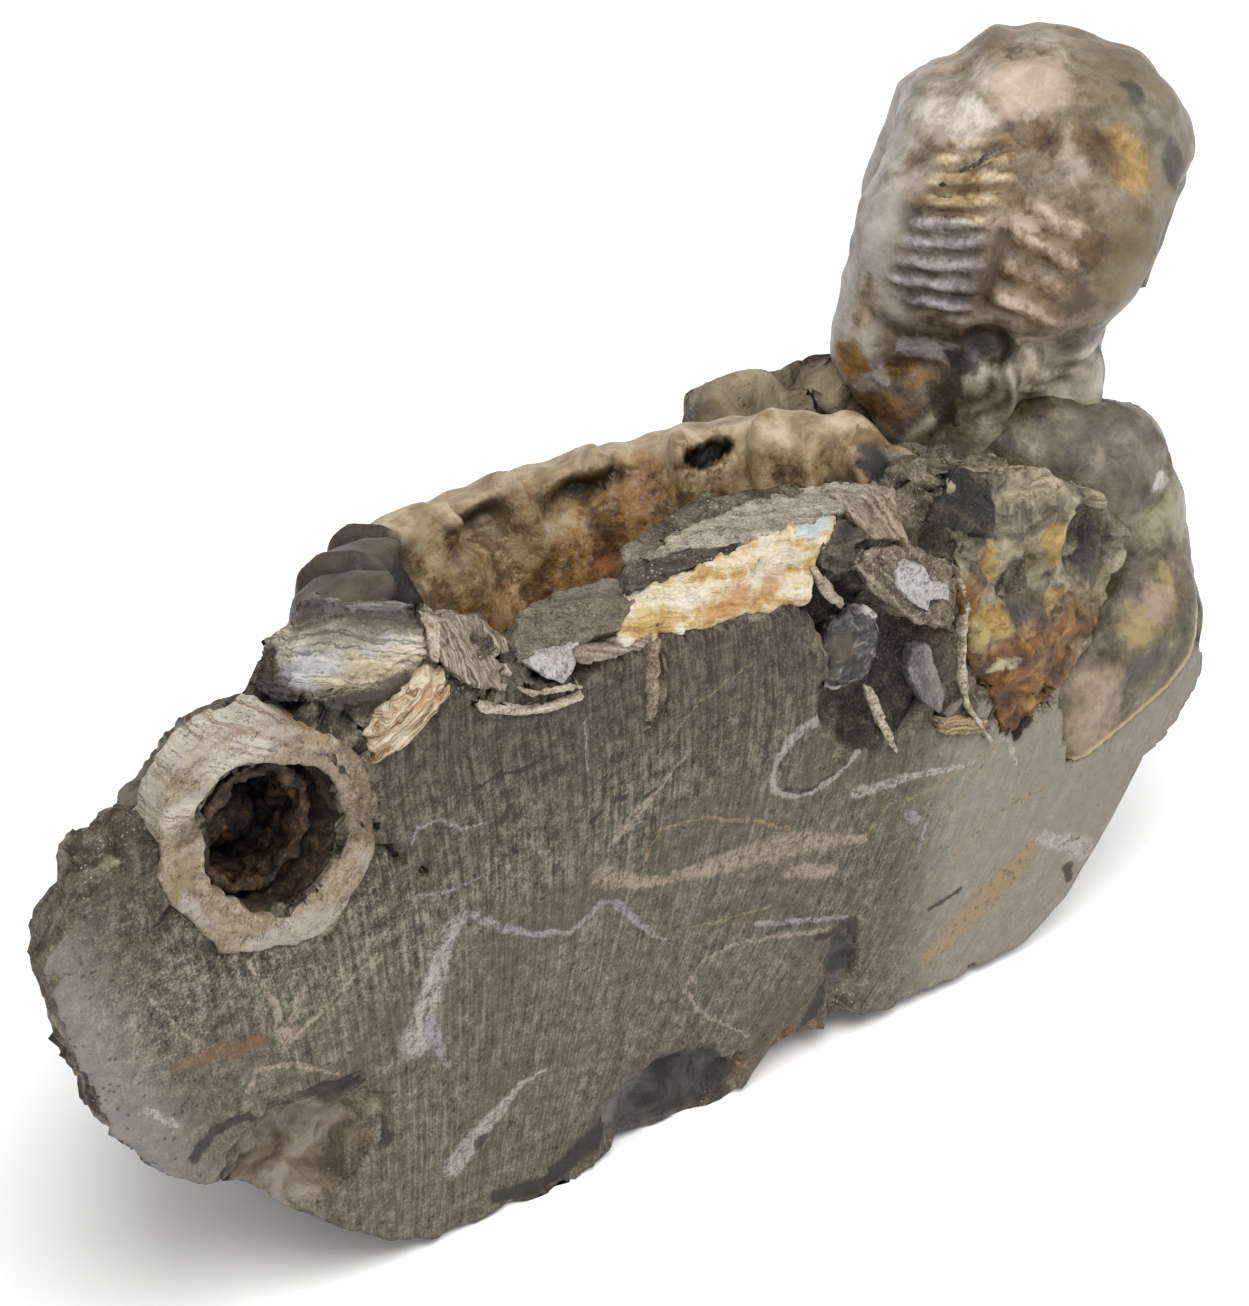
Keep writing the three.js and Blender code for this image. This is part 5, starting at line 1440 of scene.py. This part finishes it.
# Each fragment: its finish, how far it goes back, how deep its facets are, and its front corners.
FRAGMENTS = [
    ("striated_block", "striated_grey_shell", (0, 4, -1.5), 0.9,
     [(3.8, 3.8, 73.4), (8.5, 5.5, 71.9), (11.3, 5.5, 69.6), (12.3, 3.6, 68.2), (11.3, 1.4, 66.4),
      (9.6, 0.4, 65.1), (5.0, 0.2, 67.6), (2.5, 1.2, 70.7)]),
    ("white_flakes", "thin_shell_edges", (1.2, 2.4, -1.5), 0.6,
     [(2.2, 4.6, 75.4), (3.7, 4.6, 74.1), (4.2, 3.6, 73.2), (2.4, 1.2, 70.6), (1.4, 1.6, 71.6),
      (2.1, 3.1, 73.6)]),
    ("speckled_slope", "grey_speckled_rock", (1, 4, -5), 0.7,
     [(13.7, 5.0, 67.1), (16.3, 7.0, 68.4), (22.0, 8.0, 68.2), (27.5, 8.5, 67.1), (30.4, 8.0, 66.5),
      (27.6, 3.0, 67.4), (25.6, 1.5, 65.6), (19.5, 2.2, 65.6), (15.3, 2.5, 66.0), (12.2, 2.0, 66.6)]),
    ("pearly_edge", "pearly_brown_shell", (0.5, 2.5, -0.8), 0.5,
     [(19.0, 1.2, 65.8), (22.8, 2.0, 64.8), (26.4, 1.4, 65.1), (28.2, 0.3, 64.3), (26.1, 0.0, 63.4),
      (21.3, 0.3, 64.0), (18.9, 0.4, 64.7)]),
    ("crumbly_band", "dark_sparkling_rock", (1, 4, -4), 0.7,
     [(28.7, 5.5, 68.8), (34.0, 7.0, 68.2), (39.3, 7.0, 67.1), (43.9, 7.0, 65.8), (42.8, 4.6, 66.8),
      (36.9, 3.8, 67.8), (30.4, 3.0, 68.5), (26.7, 2.4, 69.0)]),
    ("layered_ledge", "streaked_layers", (1, 3, -6), 0.8,
     [(32.2, 8.0, 67.9), (38.0, 10.0, 67.6), (43.2, 11.0, 67.2), (51.4, 12.0, 66.2), (61.0, 12.0, 64.6),
      (67.2, 11.0, 63.0), (65.2, 8.0, 63.3), (56.2, 5.5, 65.9), (43.6, 5.0, 66.2), (37.2, 6.0, 66.7)]),
    ("dark_step", "dark_sparkling_rock", (1, 4, -3), 1.0,
     [(56.2, 5.2, 65.4), (59.3, 4.7, 63.0), (58.8, 3.6, 60.0), (53.8, 1.9, 60.4), (51.4, 2.4, 62.6)]),
    ("beige_corner", "tan_streaked_facet", (1, 5, -3), 0.8,
     [(58.3, 8.5, 65.8), (62.1, 7.4, 64.4), (66.4, 8.0, 63.8), (65.2, 4.2, 59.4), (60.2, 4.2, 62.0),
      (58.1, 5.4, 64.6)]),
    ("speckled_block", "beige_speckled_rock", (1, 6, -2), 0.8,
     [(56.8, 3.2, 60.7), (60.3, 4.1, 60.4), (65.5, 4.4, 58.6), (72.1, 3.6, 54.4), (70.6, 2.0, 47.3),
      (64.1, 2.2, 51.0), (59.5, 2.5, 56.0)]),
    ("smoky_sliver", "smoky_shell", (0.5, 2.0, -0.5), 0.4,
     [(64.2, 1.6, 47.8), (66.6, 1.6, 47.2), (68.4, 0.5, 41.0), (67.5, 0.0, 38.6), (64.8, 0.2, 41.4),
      (63.2, 0.9, 45.5)]),
    ("golden_edge", "golden_broken_rim", (0, 1.6, 0), 0.5,
     [(66.9, 0.4, 38.0), (70.8, 0.4, 36.8), (75.2, 0.4, 34.4), (74.8, 0, 33.0), (71.1, 0, 34.4),
      (67.9, 0, 35.8)]),
    ("brown_peak", "dark_brown_facets", (2.5, 3.5, -2.5), 0.6,
     [(68.0, 4.5, 60.8), (70.0, 4.5, 63.5), (71.8, 4.5, 65.9),
      (73.4, 2.9, 65.4), (74.0, 1.6, 64.0), (74.4, 0.5, 62.2),
      (73.2, -0.7, 59.0), (71.0, 1.4, 59.8), (69.4, 3.1, 60.3)]),
    ("upright_shell_edge", "thin_shell_edges", (0.2, 3.0, 0), 0.2,
     [(71.0, 2.4, 55.5), (71.9, 1.8, 50.2), (71.4, 1.4, 45.5), (70.8, 0.8, 40.8), (71.5, 0.4, 37.6),
      (74.8, -0.2, 31.9), (75.6, -0.2, 31.6), (72.2, 0.5, 37.7), (71.9, 1.4, 43.6), (72.6, 1.8, 50)]),
    ("thin_edge_left", "thin_shell_edges", (0, 1.2, 0.2), 0.3,
     [(5.6, -0.2, 65.6), (8.5, -0.2, 63.8), (12, -0.2, 62.3), (15.2, -0.2, 61.3), (19, -0.2, 61.2),
      (18.6, -0.2, 60.6), (14.6, -0.2, 60.7), (10.8, -0.2, 61.8), (6.2, -0.2, 64.2)]),
    ("thin_edge_right", "thin_shell_edges", (0, 1.2, 0.2), 0.3,
     [(10.6, -0.1, 65.2), (13, -0.1, 63.9), (18.6, -0.1, 62.4), (18.4, -0.1, 61.9), (12.4, -0.1, 63.4)]),
    ("coil_tail", "thin_shell_edges", (0.6, 1.2, 0), 0.3,
     [(49.4, 1.2, 63.2), (50.4, 1.3, 62.8), (53.2, 1.8, 58.8), (55.2, 2.2, 56.4), (54.4, 2.2, 56.0),
      (51.4, 1.7, 59.2)]),
    ("spine_bits", "thin_shell_edges", (0.3, 1.0, 0), 0.3,
     [(57.4, 1.2, 45.6), (58.6, 1.2, 44.8), (59.4, 0.6, 42.2), (60.4, 0.2, 39.4), (61.4, -0.2, 35.9),
      (60.2, -0.2, 37.4), (58.8, 0.4, 40.4), (58, 0.9, 43)]),
]


def fragments():
    """Angular bits of rock and shell along the top edge, each with its own layers."""
    finishes = {name: fragment_finish(name, *looks) for name, looks in FRAGMENT_FINISHES.items()}
    lift = FORWARD * 0.9
    pieces = []
    for name, kind, back, depth, corners in FRAGMENTS:
        piece = slab(name, [Vector(corner) + lift for corner in corners], back, 0.3, 0)
        sculpt(piece, lambda spot, normal: normal * rough(spot, depth * 0.8, 2.8, depth * 0.3, 0.9))
        pieces.append(settle(piece, finishes[kind], "matrix"))
    return pieces


# ---------------------------------------------------------------- the rock

def skin_tree(piece):
    corners = [tuple(vertex.co) for vertex in piece.data.vertices]
    return BVHTree.FromPolygons(corners, [tuple(face.vertices) for face in piece.data.polygons])


# The nodes that the rock closes round.
SET_IN_ROCK = ("lying_ammonite", "standing_ammonite", "flank_ammonite", "calcite_chunk", "nacre_plate",
               "lens_shell", "ribbed_shell", "small_coiled_shell", "hollow_shell", "spine")
# How large the rock's faces are, and half the width of the gaps that are closed over.
ROCK_FACES = 0.8
GAP_CLOSED = 1.3
# How far the rock stays under the lying coil's skin and under the other fossils'.
UNDER_COIL = 1.4
UNDER_OTHERS = 0.9
# Small holes in the rock behind the top edge: middle and radius.
ROCK_HOLES = (((68.2, 13.5, 63.8), 2.2), ((69.6, 6.5, 64.5), 1.7))


def rock_with(fossils):
    """The block with its gaps closed over, kept out of the fossils, broken where it is broken."""
    piece = casting("siltstone_block", "matrix_block", *SET_IN_ROCK)
    skin(piece, ROCK_FACES)
    grow(piece, GAP_CLOSED, ROCK_FACES)
    grow(piece, -GAP_CLOSED, ROCK_FACES)
    solids = [skin_tree(fossil) for fossil in fossils]
    casts = []
    for name in SET_IN_ROCK:
        cast = casting("cast", name)
        casts.append(skin_tree(cast))
        bpy.data.objects.remove(cast)
    rim = KDTree(len(piece.data.vertices))
    for i, vertex in enumerate(piece.data.vertices):
        if vertex.co.y - ZERO.y > 0.9 * MM:
            rim.insert(vertex.co, i)
    rim.balance()

    def under(trees, place):
        """How far a point lies under the nearest of some skins, or how far out of it, as a negative."""
        deepest = -9.0
        for tree in trees:
            hit, normal, _, distance = tree.find_nearest(place, 4 * MM)
            if hit is not None:
                depth = (hit - place).dot(normal) / MM
                deepest = max(deepest, depth if depth > 0 else -distance / MM)
        return deepest

    def below_fossil(place):
        """The step from a point to just under the nearest fossil, in millimetres."""
        best = None
        for i, tree in enumerate(solids):
            hit, normal, _, distance = tree.find_nearest(place, 6 * MM)
            if hit is not None and (best is None or distance < best[1]):
                best = (hit - normal * (UNDER_OTHERS if i else UNDER_COIL) * MM - place, distance)
        return best and best[0] / MM

    def trim(spot):
        """Draws the block's left outline in a little, and brings its lower front edge down."""
        left = fade(spot.x, -33, -38) * max(fade(spot.z, 55, 60), 0.9 * fade(spot.z, 43, 37))
        low = fade(spot.z, 8.5, 3) * fade(spot.y, 8, 4) * fade(spot.x, 6, 16) * fade(spot.x, 42, 36)
        return Vector((2.1, 0, 0)) * left + Vector((0, -min(spot.y, 2.2), -2.4)) * low

    def stroke(spot, normal):
        place = spot * MM + ZERO
        if spot.y < 0.75 and beside_cut(spot) > 0.2 and spot.x > 80:
            return Vector((0, -spot.y, 0))
        depth = max(under(casts, place), under(solids, place))
        if depth > -0.7:
            step = below_fossil(place) or normal * -2.0
            beside_lens = fade(spot.x, 3, 1) * fade(spot.x, -21, -19) * fade(spot.z, 70.5, 72)
            at_tip = fade(spot.x, -10, -14) * fade(spot.z, 71.5, 73.5) * beside_lens
            deeper = 1.6 * beside_lens + 5.0 * fade((spot - Vector((89, 19, 69))).length, 8, 5)
            return step - FORWARD * deeper + Vector((3.2, 0, -1.0)) * at_tip
        if spot.y < 0.75:
            edge = rim.find(place)[2] / MM
            chip = max(0.0, wander(spot, 2.6, 5.0)) * fade(edge, 2.6, 0.6)
            return trim(spot) + Vector((0, chip * 1.6 - spot.y, 0))
        bevel = (spot - BEVEL_EDGE).dot(BEVEL_NORMAL)
        if bevel > -0.5 and normal.dot(BEVEL_NORMAL) > 0.8:
            return Vector((0, 0, 0))
        calm = 1 - 0.75 * fade((spot - Vector((73, 37, 59))).length, 14, 9)
        free = fade(spot.y, 0.6, 3.0) * fade(depth, -0.7, -2.0) * fade(spot.z, 0.8, 5.0) * calm
        on_ledge = fade(spot.x, 26, 30) * fade(spot.x, 66, 62) * fade(spot.y, 3, 5) * fade(spot.z, 62, 65)
        free *= 1 - 0.85 * on_ledge
        if on_ledge > 0.01:
            return normal * (free * 0.5 * wander(spot, 2.0) - 1.2 * on_ledge)
        if spot.x > 70 and spot.y > 26 and spot.z > 59:
            return normal * -2.6 * fade(spot.z, 61.5, 64) - Vector((0, 0, 3.2)) * fade(spot.x, 75, 79)
        broken = 1.1 * facets(spot, 7.0) + 0.8 * facets(spot, 3.0, 2.0) + 0.3 * wander(spot, 1.4)
        push = normal * free * broken + trim(spot)
        for middle, radius in ROCK_HOLES:
            away = (spot - Vector(middle)).length
            push -= Vector((-0.3, -0.3, 1)) * 4.0 * fade(away, radius, radius * 0.6)
        return push

    sculpt(piece, stroke)
    return settle(piece, rock_finish(), "matrix", "matrix_block")


white_shell = growth_line_shell()
fossils = [lying_coil(), standing_coil(), flank_coil(), cream_shell(), amber_calcite(), golden_plate(),
        grey_lens(), white_shell, small_coil()]
drusy_lining()
rock_with(fossils + chips() + fragments())


# ---------------------------------------------------------------- floor, light, camera

# Each lamp: where it hangs in metres, its size and its power in watts.
LAMPS = {
    "overhead": ((-0.15, -0.35, 0.9), 0.7, 8.0),
    "side": ((0.8, -0.5, 0.6), 0.5, 3.0),
    "low_front": ((-0.6, -0.75, 0.12), 0.6, 2.0),
}
LAMPS_AIM = Vector((0, 0, 0.04))
FLOOR_SIZE = 6
ROOM_LIGHT = 0.75

# The camera stands round to the left and above, in degrees, and looks at a point on the ground face.
CAMERA_TURN = math.radians(-38)
CAMERA_RISE = math.radians(33)
CAMERA_AWAY = 0.45
CAMERA_LENS = 124.04
LOOKED_AT = (24, 0, 64)


def studio():
    bpy.ops.mesh.primitive_plane_add(size=FLOOR_SIZE, location=(0, 0, 0))
    floor = bpy.context.active_object
    floor.name = "pale_floor"
    finish = bpy.data.materials.new("pale_floor")
    finish.use_nodes = True
    sockets = finish.node_tree.nodes["Principled BSDF"].inputs
    sockets["Base Color"].default_value = (0.9, 0.9, 0.9, 1)
    sockets["Roughness"].default_value = 0.9
    floor.data.materials.append(finish)
    world = bpy.data.worlds.new("soft_room")
    world.use_nodes = True
    sockets = world.node_tree.nodes["Background"].inputs
    sockets["Color"].default_value = (1, 1, 1, 1)
    sockets["Strength"].default_value = ROOM_LIGHT
    bpy.context.scene.world = world
    for name, (place, size, power) in LAMPS.items():
        lamp = bpy.data.lights.new(name, "AREA")
        lamp.size = size
        lamp.energy = power
        stand = bpy.data.objects.new(name, lamp)
        stand.location = place
        stand.rotation_euler = (LAMPS_AIM - Vector(place)).to_track_quat("-Z", "Y").to_euler()
        bpy.context.scene.collection.objects.link(stand)


def camera():
    level = math.cos(CAMERA_RISE)
    back = Vector((math.sin(CAMERA_TURN) * level, -math.cos(CAMERA_TURN) * level, math.sin(CAMERA_RISE)))
    lens = bpy.data.cameras.new("camera")
    lens.sensor_width = 36
    lens.lens = CAMERA_LENS
    lens.clip_start = 0.01
    eye = bpy.data.objects.new("camera", lens)
    eye.location = at(*LOOKED_AT) + back * CAMERA_AWAY
    eye.rotation_euler = (-back).to_track_quat("-Z", "Y").to_euler()
    bpy.context.scene.collection.objects.link(eye)
    bpy.context.scene.camera = eye


studio()
camera()
bpy.context.scene.view_settings.view_transform = "Standard"
